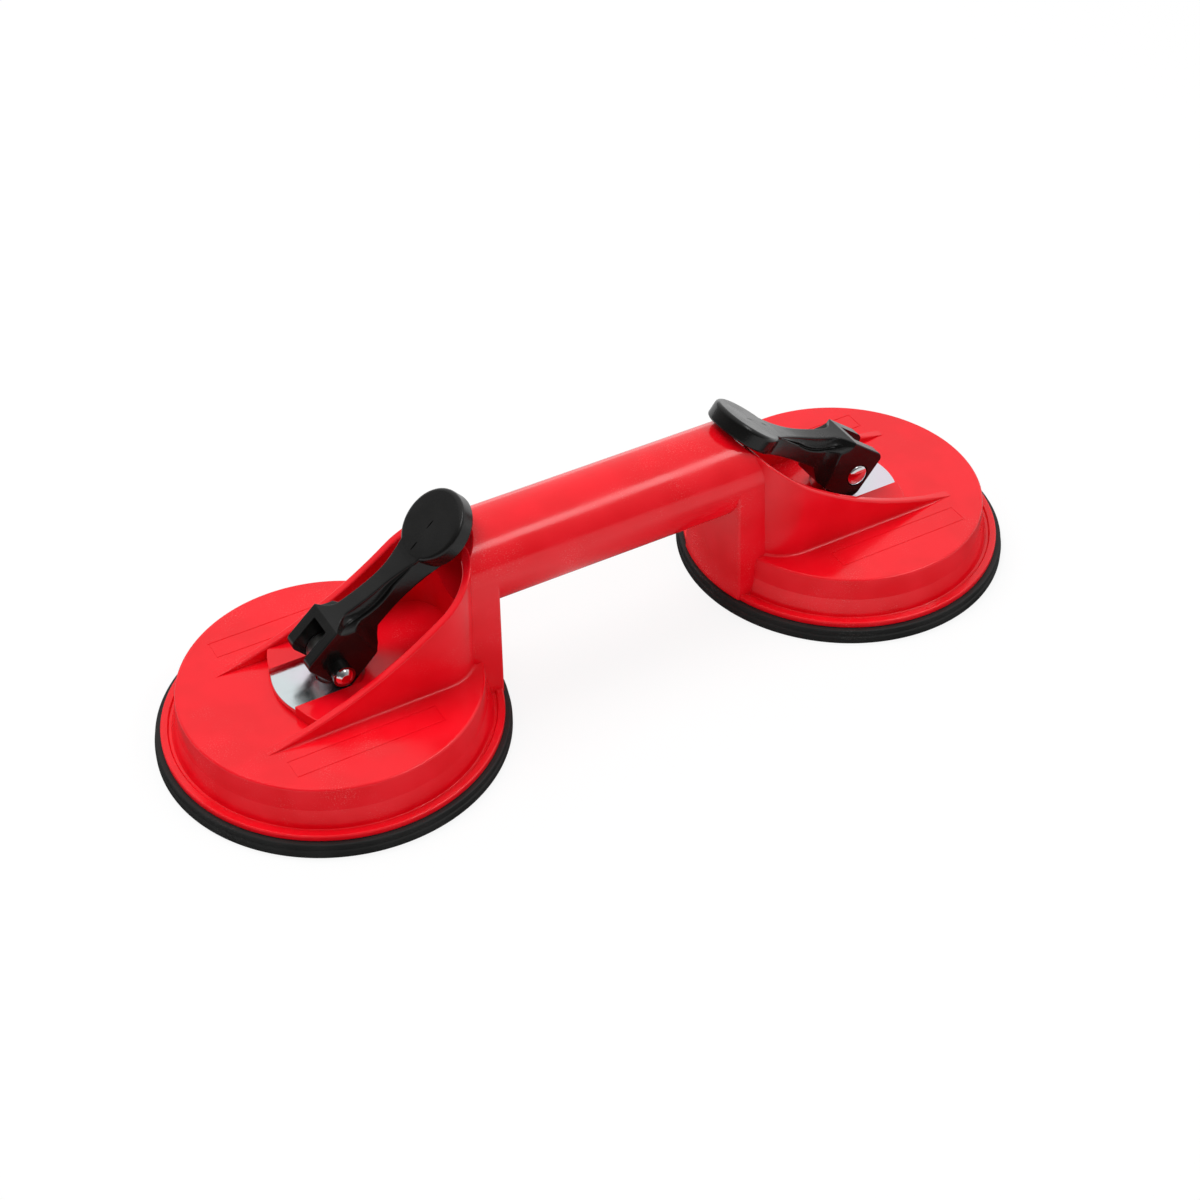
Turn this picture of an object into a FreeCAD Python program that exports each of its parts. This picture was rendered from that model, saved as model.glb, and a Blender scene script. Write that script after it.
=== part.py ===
"""Twin suction cup lifter for smooth tiles and plates.

A one-piece plastic body carries two rubber suction pads, joined by a round tube handle. Over each pad an
eye bolt hangs from the pin of a cam lever: pressing the lever down to the handle lifts the bolt, and with
it a steel plate bonded to the middle of the pad.

Millimetres, +Z up. The origin is on the floor, midway between the cups; +X runs along the handle to the
right cup. Each cup is drawn in its own frame, with its centre at the origin and +x pointing to the handle,
and the two sets are then placed a half turn apart about Z.
"""
import FreeCAD, Part
import math
import os
from FreeCAD import Vector

# ---------------------------------------------------------------- driving dimensions

CUP_SPACING = 201.5  # between the centres of the two cups

PAD_DIAMETER = 118.0  # rubber pad
PAD_RIM = 5.35  # thickness of the pad under the housing's rim
PAD_SKIN = 4.0  # thickness of the pad's middle
PAD_LIP = 9.0  # width of the flat sealing ring

FLANGE_DIAMETER = 113.3  # foot of the plastic housing
FLANGE_HEIGHT = 2.15
FLANGE_CHAMFER = 0.45
FLANGE_LAND = 2.35  # width of the flange's flat top
GROOVE_WIDTH = 1.4  # groove between the flange and the side wall
GROOVE_DEPTH = 0.75
GROOVE_SLOPE = 0.4  # lean of the groove's outer side
HOUSING_HEIGHT = 16.3  # from the pad to the flat top
SIDE_TAPER = 2.5  # how far the side wall leans in
TOP_EDGE = 0.7  # chamfer round the flat top
WALL = 3.0  # moulded wall
ROOF = 2.9

TUBE_HEIGHT = 51.6  # axis of the tube handle above the floor
TUBE_DIAMETER = 31.8
TUBE_WALL = 2.9

LEG_SPAN = 45.0  # over the two ramp walls beside each lever
LEG_TIP = 32.0  # how far the walls run from the cup's centre, away from the handle
BEND_START = 32.0  # where they start to close towards the post
BEND_RADIUS = 15.8
RAMP_MIDDLE_X = 8.0  # a point on the ramp's curved crest
RAMP_MIDDLE_HEIGHT = 35.2
MOUTH_X = 51.5  # where the crest meets the top of the tube

POST_RADIUS = 56.0  # curved outer face of the post, about the cup's centre
POST_FOOT_WIDTH = 35.6
POST_START = 36.0
POST_CORE_HEIGHT = 33.0  # top of the pocket that cores the post out from below
POST_CORE_WIDTH = 26.0

PLATFORM_TOP = 25.8  # floor between the ramp walls
PLATFORM_FRONT_RADIUS = 44.0
PLATFORM_FRONT = 18.0  # from the cup's centre to the front of the platform
PANEL_LENGTH = 52.0  # blank panel outlined on the housing's top, each side of the ramp walls
PANEL_WIDTH = 8.0
PANEL_CENTRE_X = -2.0
PANEL_CENTRE_Y = 32.0
PANEL_LINE = 0.7
PANEL_DEPTH = 0.35

RIB_COUNT = 8
RIB_THICKNESS = 2.2
BOSS_DIAMETER = 22.0
BOSS_DEPTH = 2.4  # how far the guide boss and the ribs hang below the roof

WEAR_TOP = 24.2  # bearing surface of the steel wear plate
WEAR_THICKNESS = 1.5
WEAR_WIDTH = 20.0
WEAR_FRONT = 18.6
WEAR_FRONT_RADIUS = 26.0
WEAR_BACK = 7.0
WEAR_BACK_RADIUS = 12.5
WEAR_HOLE = 9.4
CHANNEL_BACK = 11.5  # end of the cam's channel in the platform, towards the handle

PIN_DIAMETER = 6.0
PIN_HEAD_DIAMETER = 8.0
PIN_HEAD_HEIGHT = 1.9
PIN_HEAD_EDGE = 0.8  # chamfer that crowns the head
PIN_HEAD_SEAT = 1.2  # depth of the head's counterbore in the lever
PIN_TIP = 1.2  # how far the pin shows beyond its retaining ring
PIN_CHAMFER = 0.6
RING_DIAMETER = 7.6
RING_THICKNESS = 0.9
RING_GAP = 1.6  # opening of the retaining ring
PIN_GROOVE_DEPTH = 0.5

LEVER_WIDTH = 17.0
LEVER_SLOT = 8.6
SLOT_REACH = 7.6  # slot beyond the pin, towards the thumb pad, open above, below and at the end
CAM_END = 5.4  # pin centre to the lever's flat end face
CAM_LIFT = 3.6  # lift of the pad between the lever upright and locked
BLOCK_TOP = 10.6
BLOCK_BOTTOM = 8.6
BLOCK_LENGTH = 13.0  # heel of the block's underside, beyond the pin
BLOCK_WIDE = 12.5  # end of the block's full width, beyond the pin
BLOCK_STEP = 17.9
BLOCK_CORNER = 2.6
ARM_BOTTOM = 4.45
ARM_WIDTH = 10.4  # lower part of the arm
ARM_WIDE_X = 17.0
CREST_WIDTH = 6.4  # upper part of the arm, between the finger scoops
CREST_X = 16.0
THUMB_REACH = 67.2  # pin centre to the tip of the thumb pad
THUMB_DIAMETER = 25.6
THUMB_TOP = 1.85
THUMB_THICKNESS = 6.3
THUMB_EDGE = 0.9  # chamfer round the thumb pad, above and below
SADDLE_START = 10.3  # crest of the block, where the saddle starts
SADDLE_MIDDLE_X = 26.0
SADDLE_MIDDLE_HEIGHT = 4.75
SADDLE_END = 1.05  # where the saddle runs out on the thumb pad, in pad radii before its centre
WAIST = 0.2  # swell of the arm half way to the thumb pad, as a share of the whole flare
SCOOP_RADIUS = 21.3  # finger scoop along each side of the arm
SCOOP_X = 27.0
SCOOP_HEIGHT = 22.1
TAIL_BOSS_HEIGHT = 3.6
TAIL_BOSS_DIAMETER = 7.6
RIB_STEP = 1.15  # thin rib that follows the scoop's foot
RIB_DEPTH = 0.9
LOW_JOIN = 50.0  # where the lower and upper parts meet the thumb pad, degrees round it from the lever's axis
HIGH_JOIN = 30.0

PLATE_DIAMETER = 56.0  # steel plate bonded to the pad
PLATE_THICKNESS = 3.0
BOLT_DIAMETER = 8.0
EYE_DIAMETER = 11.6
EYE_WIDTH = 8.0
NUT_SIDES = 6
NUT_FLATS = 13.0
NUT_HEIGHT = 4.5

# Angles, degrees. The left lever stands a little off its stop, the right one is home.
LEFT_LEVER_OPEN = 4.4
RIGHT_LEVER_OPEN = 0.0

# Clearances
SLIDE_FIT = 0.07  # bolt in its guide bore, each side
PIN_FIT = 0.05  # pin in the eye, each side
PRESS_FIT = 0.02  # drawn gap of a pressed or screwed joint, each side
SOFT_GAP = 0.3  # between the raised middle of the pad and the housing
STOP_GAP = 0.3  # lever to its stop and to the wear plate
BOND = 0.1  # adhesive between plate and pad
SIDE_GAP = 0.25  # wear plate in its channel, each side

# ---------------------------------------------------------------- derived sizes

PAD_R = PAD_DIAMETER / 2
FLANGE_R = FLANGE_DIAMETER / 2
RIM_Z = PAD_RIM  # underside of the housing
FLANGE_Z = RIM_Z + FLANGE_HEIGHT
DISC_Z = RIM_Z + HOUSING_HEIGHT
WALL_FOOT_R = FLANGE_R - FLANGE_LAND - GROOVE_WIDTH
DISC_R = WALL_FOOT_R - SIDE_TAPER
ROOF_Z = DISC_Z - ROOF
BOSS_Z = ROOF_Z - BOSS_DEPTH
CAVITY_FOOT_R = WALL_FOOT_R - WALL
CAVITY_TOP_R = DISC_R - WALL

TUBE_R = TUBE_DIAMETER / 2
BORE_R = TUBE_R - TUBE_WALL
TUBE_TOP = TUBE_HEIGHT + TUBE_R
LEG_HALF = LEG_SPAN / 2
END_WALL_X = BEND_START + BEND_RADIUS  # outer face of the wall that closes the recess
CORE_START = END_WALL_X
CORE_RADIUS = POST_RADIUS - WALL

PIN_R = PIN_DIAMETER / 2
EYE_R = EYE_DIAMETER / 2
BOLT_R = BOLT_DIAMETER / 2
THUMB_R = THUMB_DIAMETER / 2
THUMB_X = THUMB_REACH - THUMB_R
THUMB_BOTTOM = THUMB_TOP - THUMB_THICKNESS
SADDLE_END_X = THUMB_X - SADDLE_END * THUMB_R
LEVER_HALF = LEVER_WIDTH / 2


def locked_lever():
    """Angle of the locked lever above the floor, and the height of its pin.

    The cam's distance to the wear plate grows by the same amount for each degree of travel, from CAM_END
    with the lever upright to CAM_END + CAM_LIFT when it is locked. The lever is locked where the underside
    of its thumb pad meets the top of the tube's mouth.
    """
    pin_z = WEAR_TOP + STOP_GAP + CAM_END + CAM_LIFT
    rise = TUBE_TOP - pin_z
    reach = math.hypot(MOUTH_X, rise)
    angle = math.atan2(rise, MOUTH_X) + math.asin((STOP_GAP - THUMB_BOTTOM) / reach)
    return math.degrees(angle), pin_z


LOCKED_ANGLE, LOCKED_PIN_Z = locked_lever()
LEVER_TRAVEL = 90.0 - LOCKED_ANGLE
LIFT_PER_DEGREE = CAM_LIFT / LEVER_TRAVEL
# Height of the middle of the pad's underside when it is fully drawn up.
DRAWN_UP = CAM_LIFT

AXIS_X = Vector(1, 0, 0)
AXIS_Z = Vector(0, 0, 1)
AXIS_Y = Vector(0, 1, 0)
ORIGIN = Vector(0, 0, 0)
FAR = 200.0  # longer than any cut needs to be


# ---------------------------------------------------------------- helpers


def line(a, b):
    return Part.makeLine(a, b)


def arc(a, middle, b):
    return Part.Arc(a, middle, b).toShape()


def face(edges):
    return Part.Face(Part.Wire(edges))


def polygon(points):
    return Part.Face(Part.makePolygon(points + points[:1]))


def revolved(points):
    """Solid of revolution about Z, from (radius, height) points."""
    outline = polygon([Vector(r, 0, z) for r, z in points])
    return outline.revolve(ORIGIN, AXIS_Z, 360)


def cylinder(radius, z0, z1):
    return Part.makeCylinder(radius, z1 - z0, Vector(0, 0, z0))


def cross_cylinder(radius, y0, y1, x=0.0, z=0.0):
    """Cylinder along Y."""
    return Part.makeCylinder(radius, y1 - y0, Vector(x, y0, z), AXIS_Y)


def along_handle(radius, x0):
    """Cylinder on the handle's axis, from x0 in the cup's frame to the middle of the handle."""
    length = CUP_SPACING / 2 - x0
    return Part.makeCylinder(radius, length, Vector(x0, 0, TUBE_HEIGHT), AXIS_X)


def box(x0, x1, y0, y1, z0, z1):
    return Part.makeBox(x1 - x0, y1 - y0, z1 - z0, Vector(x0, y0, z0))


def on_cup(shape, side):
    """Move a shape from the cup's own frame to the left (-1) or right (+1) cup."""
    if side > 0:
        shape = shape.rotated(ORIGIN, AXIS_Z, 180)
    return shape.translated(Vector(side * CUP_SPACING / 2, 0, 0))


# ---------------------------------------------------------------- body


def housing():
    """Round housing: foot flange, moulded groove, leaning side wall and flat top with a chamfered edge."""
    land = FLANGE_R - FLANGE_LAND
    return revolved(
        [
            (0, RIM_Z),
            (FLANGE_R, RIM_Z),
            (FLANGE_R, FLANGE_Z - FLANGE_CHAMFER),
            (FLANGE_R - FLANGE_CHAMFER, FLANGE_Z),
            (land, FLANGE_Z),
            (land - GROOVE_SLOPE, FLANGE_Z - GROOVE_DEPTH),
            (WALL_FOOT_R, FLANGE_Z - GROOVE_DEPTH),
            (DISC_R, DISC_Z - TOP_EDGE),
            (DISC_R - TOP_EDGE, DISC_Z),
            (0, DISC_Z),
        ]
    )


def horseshoe(inset, tip, z0, z1):
    """Block with the horseshoe's plan: two straight legs that close in tangent arcs towards the post."""
    h = LEG_HALF - inset
    r = BEND_RADIUS - inset
    cy = LEG_HALF - BEND_RADIUS
    turn = r * math.sqrt(0.5)

    def p(x, y):
        return Vector(x, y, z0)

    plan = face(
        [
            line(p(-tip, -h), p(BEND_START, -h)),
            arc(p(BEND_START, -h), p(BEND_START + turn, -cy - turn), p(BEND_START + r, -cy)),
            line(p(BEND_START + r, -cy), p(BEND_START + r, cy)),
            arc(p(BEND_START + r, cy), p(BEND_START + turn, cy + turn), p(BEND_START, h)),
            line(p(BEND_START, h), p(-tip, h)),
            line(p(-tip, h), p(-tip, -h)),
        ]
    )
    return plan.extrude(Vector(0, 0, z1 - z0))


def above_ramp():
    """Everything above the curved crest of the ramp walls."""
    tip = Vector(-LEG_TIP, -FAR / 2, DISC_Z)
    middle = Vector(RAMP_MIDDLE_X, -FAR / 2, RAMP_MIDDLE_HEIGHT)
    top = Vector(MOUTH_X, -FAR / 2, TUBE_TOP)
    over_top = top + Vector(0, 0, FAR)
    over_tip = Vector(-FAR, -FAR / 2, TUBE_TOP + FAR)
    before_tip = Vector(-FAR, -FAR / 2, DISC_Z)
    side = face(
        [
            arc(tip, middle, top),
            line(top, over_top),
            line(over_top, over_tip),
            line(over_tip, before_tip),
            line(before_tip, tip),
        ]
    )
    return side.extrude(Vector(0, FAR, 0))


def post():
    """Post under the end of the tube: drafted side faces and an outer face that follows the housing's rim."""
    foot = POST_FOOT_WIDTH / 2
    section = polygon(
        [
            Vector(POST_START, -foot, RIM_Z),
            Vector(POST_START, foot, RIM_Z),
            Vector(POST_START, TUBE_R, TUBE_HEIGHT),
            Vector(POST_START, -TUBE_R, TUBE_HEIGHT),
        ]
    )
    wedge = section.extrude(Vector(POST_RADIUS, 0, 0))
    return wedge.common(cylinder(POST_RADIUS, RIM_Z, TUBE_HEIGHT))


def post_core():
    """Pocket that keeps the post's wall even, open to the underside."""
    half = POST_CORE_WIDTH / 2
    pocket = box(CORE_START, POST_RADIUS, -half, half, RIM_Z, POST_CORE_HEIGHT)
    return pocket.common(cylinder(CORE_RADIUS, RIM_Z, POST_CORE_HEIGHT))


def cavity():
    """Hollow under the housing, with a guide boss and ribs left standing in it."""
    hollow = revolved([(0, RIM_Z), (CAVITY_FOOT_R, RIM_Z), (CAVITY_TOP_R, ROOF_Z), (0, ROOF_Z)])
    hollow = hollow.cut(cylinder(BOSS_DIAMETER / 2, BOSS_Z, ROOF_Z))
    half = RIB_THICKNESS / 2
    for i in range(RIB_COUNT):
        rib = box(0, FLANGE_R, -half, half, BOSS_Z, ROOF_Z)
        hollow = hollow.cut(rib.rotated(ORIGIN, AXIS_Z, (i + 0.5) * 360 / RIB_COUNT))
    return hollow


def wear_outline(gap, z0, z1):
    """Plan of the wear plate grown by a gap: straight sides, a shallow front arc and a round back."""
    half = WEAR_WIDTH / 2 + gap
    front_r = WEAR_FRONT_RADIUS + gap
    back_r = WEAR_BACK_RADIUS + gap
    strip = box(-FAR / 2, FAR / 2, -half, half, z0, z1)
    front = cylinder(front_r, z0, z1).translated(Vector(WEAR_FRONT_RADIUS - WEAR_FRONT, 0, 0))
    back = cylinder(back_r, z0, z1).translated(Vector(WEAR_BACK - WEAR_BACK_RADIUS, 0, 0))
    front_half = strip.common(front).common(box(-FAR / 2, 0, -half, half, z0, z1))
    back_half = strip.common(back).common(box(0, FAR / 2, -half, half, z0, z1))
    return front_half.fuse(back_half).removeSplitter()


def platform():
    """Raised floor between the ramp walls, with the channel of the wear plate open to the front."""
    floor = horseshoe(WALL, LEG_TIP, DISC_Z - ROOF / 2, PLATFORM_TOP)
    front = cylinder(PLATFORM_FRONT_RADIUS, DISC_Z - ROOF / 2, PLATFORM_TOP)
    floor = floor.common(front.translated(Vector(PLATFORM_FRONT_RADIUS - PLATFORM_FRONT, 0, 0)))
    return floor.cut(channel())


def channel():
    """Pocket that locates the wear plate, under a wider channel that clears the cam, open to the front."""
    seat_z = WEAR_TOP - WEAR_THICKNESS
    half = WEAR_WIDTH / 2 + SIDE_GAP
    seat = wear_outline(SIDE_GAP, seat_z, PLATFORM_TOP)
    mouth = box(-PLATFORM_FRONT_RADIUS, -WEAR_FRONT / 2, -half, half, seat_z, PLATFORM_TOP)
    cam_room = box(-WEAR_FRONT / 2, CHANNEL_BACK, -half, half, WEAR_TOP, PLATFORM_TOP)
    return seat.fuse([mouth, cam_room])


def pedestal():
    """Raised seat under the front of the wear plate."""
    return wear_outline(0, DISC_Z - ROOF / 2, WEAR_TOP - WEAR_THICKNESS)


def panel_line(side_y):
    """Thin engraved outline of a blank panel on the housing's flat top."""
    z0 = DISC_Z - PANEL_DEPTH
    x0 = PANEL_CENTRE_X - PANEL_LENGTH / 2
    y0 = side_y * PANEL_CENTRE_Y - PANEL_WIDTH / 2
    outer = box(x0, x0 + PANEL_LENGTH, y0, y0 + PANEL_WIDTH, z0, DISC_Z + PANEL_DEPTH)
    e = PANEL_LINE
    inner = box(x0 + e, x0 + PANEL_LENGTH - e, y0 + e, y0 + PANEL_WIDTH - e, z0, DISC_Z + PANEL_DEPTH)
    return outer.cut(inner)


def cup_body():
    """One end of the body in the cup's frame, with its half of the tube."""
    tube = along_handle(TUBE_R, BEND_START)
    shell = housing().fuse([horseshoe(0, LEG_TIP, DISC_Z - ROOF / 2, TUBE_TOP), post(), tube])
    shell = shell.cut(above_ramp())
    shell = shell.cut(horseshoe(WALL, FAR / 2, DISC_Z, FAR))
    shell = shell.fuse([platform(), pedestal()])
    bore = along_handle(BORE_R, POST_START)
    guide = cylinder(BOLT_R + SLIDE_FIT, BOSS_Z - 1, WEAR_TOP)
    cuts = [bore, cavity(), post_core(), guide, panel_line(-1), panel_line(1)]
    for cut in cuts:
        shell = shell.cut(cut)
    return shell


def body_shell():
    """The whole moulding: two cup ends joined at the middle of the tube."""
    end = cup_body()
    return on_cup(end, -1).fuse(on_cup(end, 1)).removeSplitter()


# ---------------------------------------------------------------- suction set


def drop_of(lever_open):
    """How far the bolt hangs below its highest place, with the lever this far off its stop."""
    return LIFT_PER_DEGREE * lever_open


def rubber_pad(lever_open):
    """Rubber pad: flat sealing ring, dished underside, and a raised middle that fits inside the housing."""
    middle = DRAWN_UP - drop_of(lever_open)
    top = middle + PAD_SKIN
    wall_lean = (CAVITY_FOOT_R - CAVITY_TOP_R) * (top - RIM_Z) / (ROOF_Z - RIM_Z)
    middle_r = CAVITY_FOOT_R - wall_lean - SOFT_GAP
    return revolved(
        [
            (0, middle),
            (PLATE_DIAMETER / 2, middle),
            (PAD_R - PAD_LIP, 0),
            (PAD_R, 0),
            (PAD_R, PAD_RIM),
            (middle_r, PAD_RIM),
            (middle_r, top),
            (0, top),
        ]
    )


def plate_bottom(lever_open):
    return DRAWN_UP + PAD_SKIN + BOND - drop_of(lever_open)


def backing_plate(lever_open):
    """Steel disc that the eye bolt is screwed into."""
    z0 = plate_bottom(lever_open)
    z1 = z0 + PLATE_THICKNESS
    return cylinder(PLATE_DIAMETER / 2, z0, z1).cut(cylinder(BOLT_R + PRESS_FIT, z0, z1))


def pin_height(lever_open):
    return LOCKED_PIN_Z - drop_of(lever_open)


def draw_bolt(lever_open):
    """Eye bolt: a round shank screwed into the plate, and a flat-sided eye for the lever's pin."""
    z0 = plate_bottom(lever_open)
    z1 = pin_height(lever_open)
    shank = cylinder(BOLT_R, z0, z1)
    half = EYE_WIDTH / 2
    eye = cross_cylinder(EYE_R, -half, half, z=z1)
    hole = cross_cylinder(PIN_R + PIN_FIT, -EYE_R, EYE_R, z=z1)
    return shank.fuse(eye).cut(hole).removeSplitter()


def jam_nut(lever_open):
    """Thin hexagon nut that locks the bolt to the plate."""
    z0 = plate_bottom(lever_open) + PLATE_THICKNESS
    corner = Vector(NUT_FLATS / math.sqrt(3), 0, z0)
    points = []
    for i in range(NUT_SIDES):
        turn = FreeCAD.Rotation(AXIS_Z, 360 / NUT_SIDES * i)
        points.append(turn.multVec(corner))
    nut = polygon(points).extrude(Vector(0, 0, NUT_HEIGHT))
    return nut.cut(cylinder(BOLT_R + PRESS_FIT, z0, z0 + NUT_HEIGHT))


def wear_plate():
    """Zinc-plated steel plate that the cam turns on."""
    z0 = WEAR_TOP - WEAR_THICKNESS
    return wear_outline(0, z0, WEAR_TOP).cut(cylinder(WEAR_HOLE / 2, z0, WEAR_TOP))


# ------------------------------------------------ lever, drawn along +x with its pin at the origin


def cam_point(angle):
    """Point of the cam that touches the plate with the lever at this angle above the floor.

    The distance from pin to plate is p = CAM_END + LIFT_PER_DEGREE * (90 - angle). A curve with that
    support distance is traced by p * n + dp/da * dn/da, where n points from the pin to the floor in the
    lever's frame.
    """
    a = math.radians(angle)
    p = CAM_END + LIFT_PER_DEGREE * (90.0 - angle)
    slope = -math.degrees(LIFT_PER_DEGREE)
    x = -p * math.sin(a) - slope * math.cos(a)
    z = -p * math.cos(a) + slope * math.sin(a)
    return x, z


def lever_side():
    """Side outline: flat end, cam, block underside, arm and thumb pad underside, then the saddle on top."""
    y = -FAR / 2

    def p(x, z):
        return Vector(x, y, z)

    top_corner = p(-CAM_END + BLOCK_CORNER, BLOCK_TOP)
    end_corner = p(-CAM_END, BLOCK_TOP - BLOCK_CORNER)
    turn = BLOCK_CORNER * (1 - math.sqrt(0.5))
    cam = Part.BSplineCurve()
    steps = 6
    cam.interpolate([p(*cam_point(90.0 - LEVER_TRAVEL * i / steps)) for i in range(steps + 1)])
    cam_start = p(*cam_point(90.0))
    cam_end = p(*cam_point(LOCKED_ANGLE))
    heel = p(BLOCK_LENGTH, -BLOCK_BOTTOM)
    step = p(BLOCK_STEP, -ARM_BOTTOM)
    thumb_low = p(THUMB_X, -ARM_BOTTOM)
    thumb_high = p(THUMB_X, THUMB_TOP)
    saddle_end = p(SADDLE_END_X, THUMB_TOP)
    saddle_middle = p(SADDLE_MIDDLE_X, SADDLE_MIDDLE_HEIGHT)
    saddle_start = p(SADDLE_START, BLOCK_TOP)
    edges = [
        arc(top_corner, p(-CAM_END + turn, BLOCK_TOP - turn), end_corner),
        line(end_corner, cam_start),
        cam.toShape(),
        line(cam_end, heel),
        line(heel, step),
        line(step, thumb_low),
        line(thumb_low, thumb_high),
        line(thumb_high, saddle_end),
        arc(saddle_end, saddle_middle, saddle_start),
        line(saddle_start, top_corner),
    ]
    return face(edges).extrude(Vector(0, FAR, 0))


def lever_plan(wide_x, narrow_x, width, join):
    """Plan outline: full-width block, a narrower arm, and a flare that meets the round thumb pad.

    The flare ends on the thumb pad's circle, at this angle in degrees from the lever's axis.
    """
    z = -FAR / 2
    neck = width / 2
    flare_x = THUMB_X - THUMB_R * math.cos(math.radians(join))
    flare_y = THUMB_R * math.sin(math.radians(join))

    def p(x, y):
        return Vector(x, y, z)

    waist_x = (narrow_x + flare_x) / 2
    waist_y = neck + (flare_y - neck) * WAIST
    plan = face(
        [
            line(p(-2 * CAM_END, -LEVER_HALF), p(wide_x, -LEVER_HALF)),
            line(p(wide_x, -LEVER_HALF), p(narrow_x, -neck)),
            arc(p(narrow_x, -neck), p(waist_x, -waist_y), p(flare_x, -flare_y)),
            line(p(flare_x, -flare_y), p(flare_x, flare_y)),
            arc(p(flare_x, flare_y), p(waist_x, waist_y), p(narrow_x, neck)),
            line(p(narrow_x, neck), p(wide_x, LEVER_HALF)),
            line(p(wide_x, LEVER_HALF), p(-2 * CAM_END, LEVER_HALF)),
            line(p(-2 * CAM_END, LEVER_HALF), p(-2 * CAM_END, -LEVER_HALF)),
        ]
    )
    return plan.extrude(Vector(0, 0, FAR))


def scoop(radius):
    """Everything beyond the block's crest and inside a circle that dips along the arm's side."""
    disc = cross_cylinder(radius, -LEVER_HALF, LEVER_HALF, SCOOP_X, SCOOP_HEIGHT)
    return disc.common(box(SADDLE_START, FAR, -LEVER_HALF, LEVER_HALF, -BLOCK_BOTTOM, FAR))


def arm():
    """Block and arm: a wide lower part below the scoops, a thin rib along them, and a narrow upper part."""
    side = lever_side()
    low = side.common(lever_plan(BLOCK_WIDE, ARM_WIDE_X, ARM_WIDTH, LOW_JOIN))
    high = side.common(lever_plan(SADDLE_START, CREST_X, CREST_WIDTH, HIGH_JOIN))
    rib = side.common(lever_plan(BLOCK_WIDE, ARM_WIDE_X, ARM_WIDTH - 2 * RIB_DEPTH, HIGH_JOIN))
    return high.fuse([low.cut(scoop(SCOOP_RADIUS)), rib.cut(scoop(SCOOP_RADIUS - RIB_STEP))])


def lever_blank():
    """Lever with its pin along Y at the origin and its arm along +x."""
    thumb = revolved(
        [
            (0, THUMB_BOTTOM),
            (THUMB_R - THUMB_EDGE, THUMB_BOTTOM),
            (THUMB_R, THUMB_BOTTOM + THUMB_EDGE),
            (THUMB_R, THUMB_TOP - THUMB_EDGE),
            (THUMB_R - THUMB_EDGE, THUMB_TOP),
            (0, THUMB_TOP),
        ]
    ).translated(Vector(THUMB_X, 0, 0))
    tail_y = -LEVER_HALF - TAIL_BOSS_HEIGHT
    tail = cross_cylinder(TAIL_BOSS_DIAMETER / 2, tail_y, -LEVER_HALF)
    lever = arm().fuse([thumb, tail])
    slot = box(-FAR / 2, SLOT_REACH, -LEVER_SLOT / 2, LEVER_SLOT / 2, -FAR / 2, FAR / 2)
    hole = cross_cylinder(PIN_R + PRESS_FIT, tail_y - 1, LEVER_HALF + 1)
    head_seat = cross_cylinder(PIN_HEAD_DIAMETER / 2 + SIDE_GAP, LEVER_HALF - PIN_HEAD_SEAT, LEVER_HALF + 1)
    for cut in [slot, hole, head_seat]:
        lever = lever.cut(cut)
    return lever.removeSplitter()


def clevis_pin_blank():
    """Headed pin with a crowned head in the lever's counterbore and a groove for the retaining ring."""
    head_r = PIN_HEAD_DIAMETER / 2
    seat = LEVER_HALF - PIN_HEAD_SEAT
    head_top = seat + PIN_HEAD_HEIGHT
    ring_y = LEVER_HALF + TAIL_BOSS_HEIGHT + PRESS_FIT
    tail = ring_y + RING_THICKNESS + PIN_TIP
    groove_r = PIN_R - PIN_GROOVE_DEPTH
    outline = [
        (0, -tail),
        (PIN_R - PIN_CHAMFER, -tail),
        (PIN_R, -tail + PIN_CHAMFER),
        (PIN_R, -ring_y - RING_THICKNESS - PRESS_FIT),
        (groove_r, -ring_y - RING_THICKNESS - PRESS_FIT),
        (groove_r, -ring_y + PRESS_FIT),
        (PIN_R, -ring_y + PRESS_FIT),
        (PIN_R, seat),
        (head_r, seat),
        (head_r, head_top - PIN_HEAD_EDGE),
        (head_r - PIN_HEAD_EDGE, head_top),
        (0, head_top),
    ]
    return polygon([Vector(r, y, 0) for r, y in outline]).revolve(ORIGIN, AXIS_Y, 360)


def retaining_ring_blank():
    """Spring ring in the pin's groove, with its gap upwards."""
    y1 = -(LEVER_HALF + TAIL_BOSS_HEIGHT + PRESS_FIT)
    y0 = y1 - RING_THICKNESS
    inner = PIN_R - PIN_GROOVE_DEPTH + PRESS_FIT
    ring = cross_cylinder(RING_DIAMETER / 2, y0, y1).cut(cross_cylinder(inner, y0, y1))
    return ring.cut(box(-RING_GAP / 2, RING_GAP / 2, y0, y1, 0, RING_DIAMETER))


def on_pin(shape, lever_open):
    """Turn a lever piece to its angle and hang it on the pin's place in the cup's frame."""
    turned = shape.rotated(ORIGIN, AXIS_Y, -(LOCKED_ANGLE + lever_open))
    return turned.translated(Vector(0, 0, pin_height(lever_open)))


# ---------------------------------------------------------------- assembly


def write(name, shape):
    solids = shape.Solids
    if len(solids) != 1 or not shape.isValid():
        print("CHECK", name, "solids", len(solids), "valid", shape.isValid())
    shape = solids[0] if len(solids) == 1 else shape
    shape.exportStep(os.path.join("parts", name + ".step"))
    bounds = shape.BoundBox
    print(
        f"{name:22s} {shape.Volume / 1000:8.2f} cm3  x {bounds.XMin:8.2f} {bounds.XMax:8.2f}"
        f"  y {bounds.YMin:7.2f} {bounds.YMax:7.2f}  z {bounds.ZMin:6.2f} {bounds.ZMax:6.2f}"
    )


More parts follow.
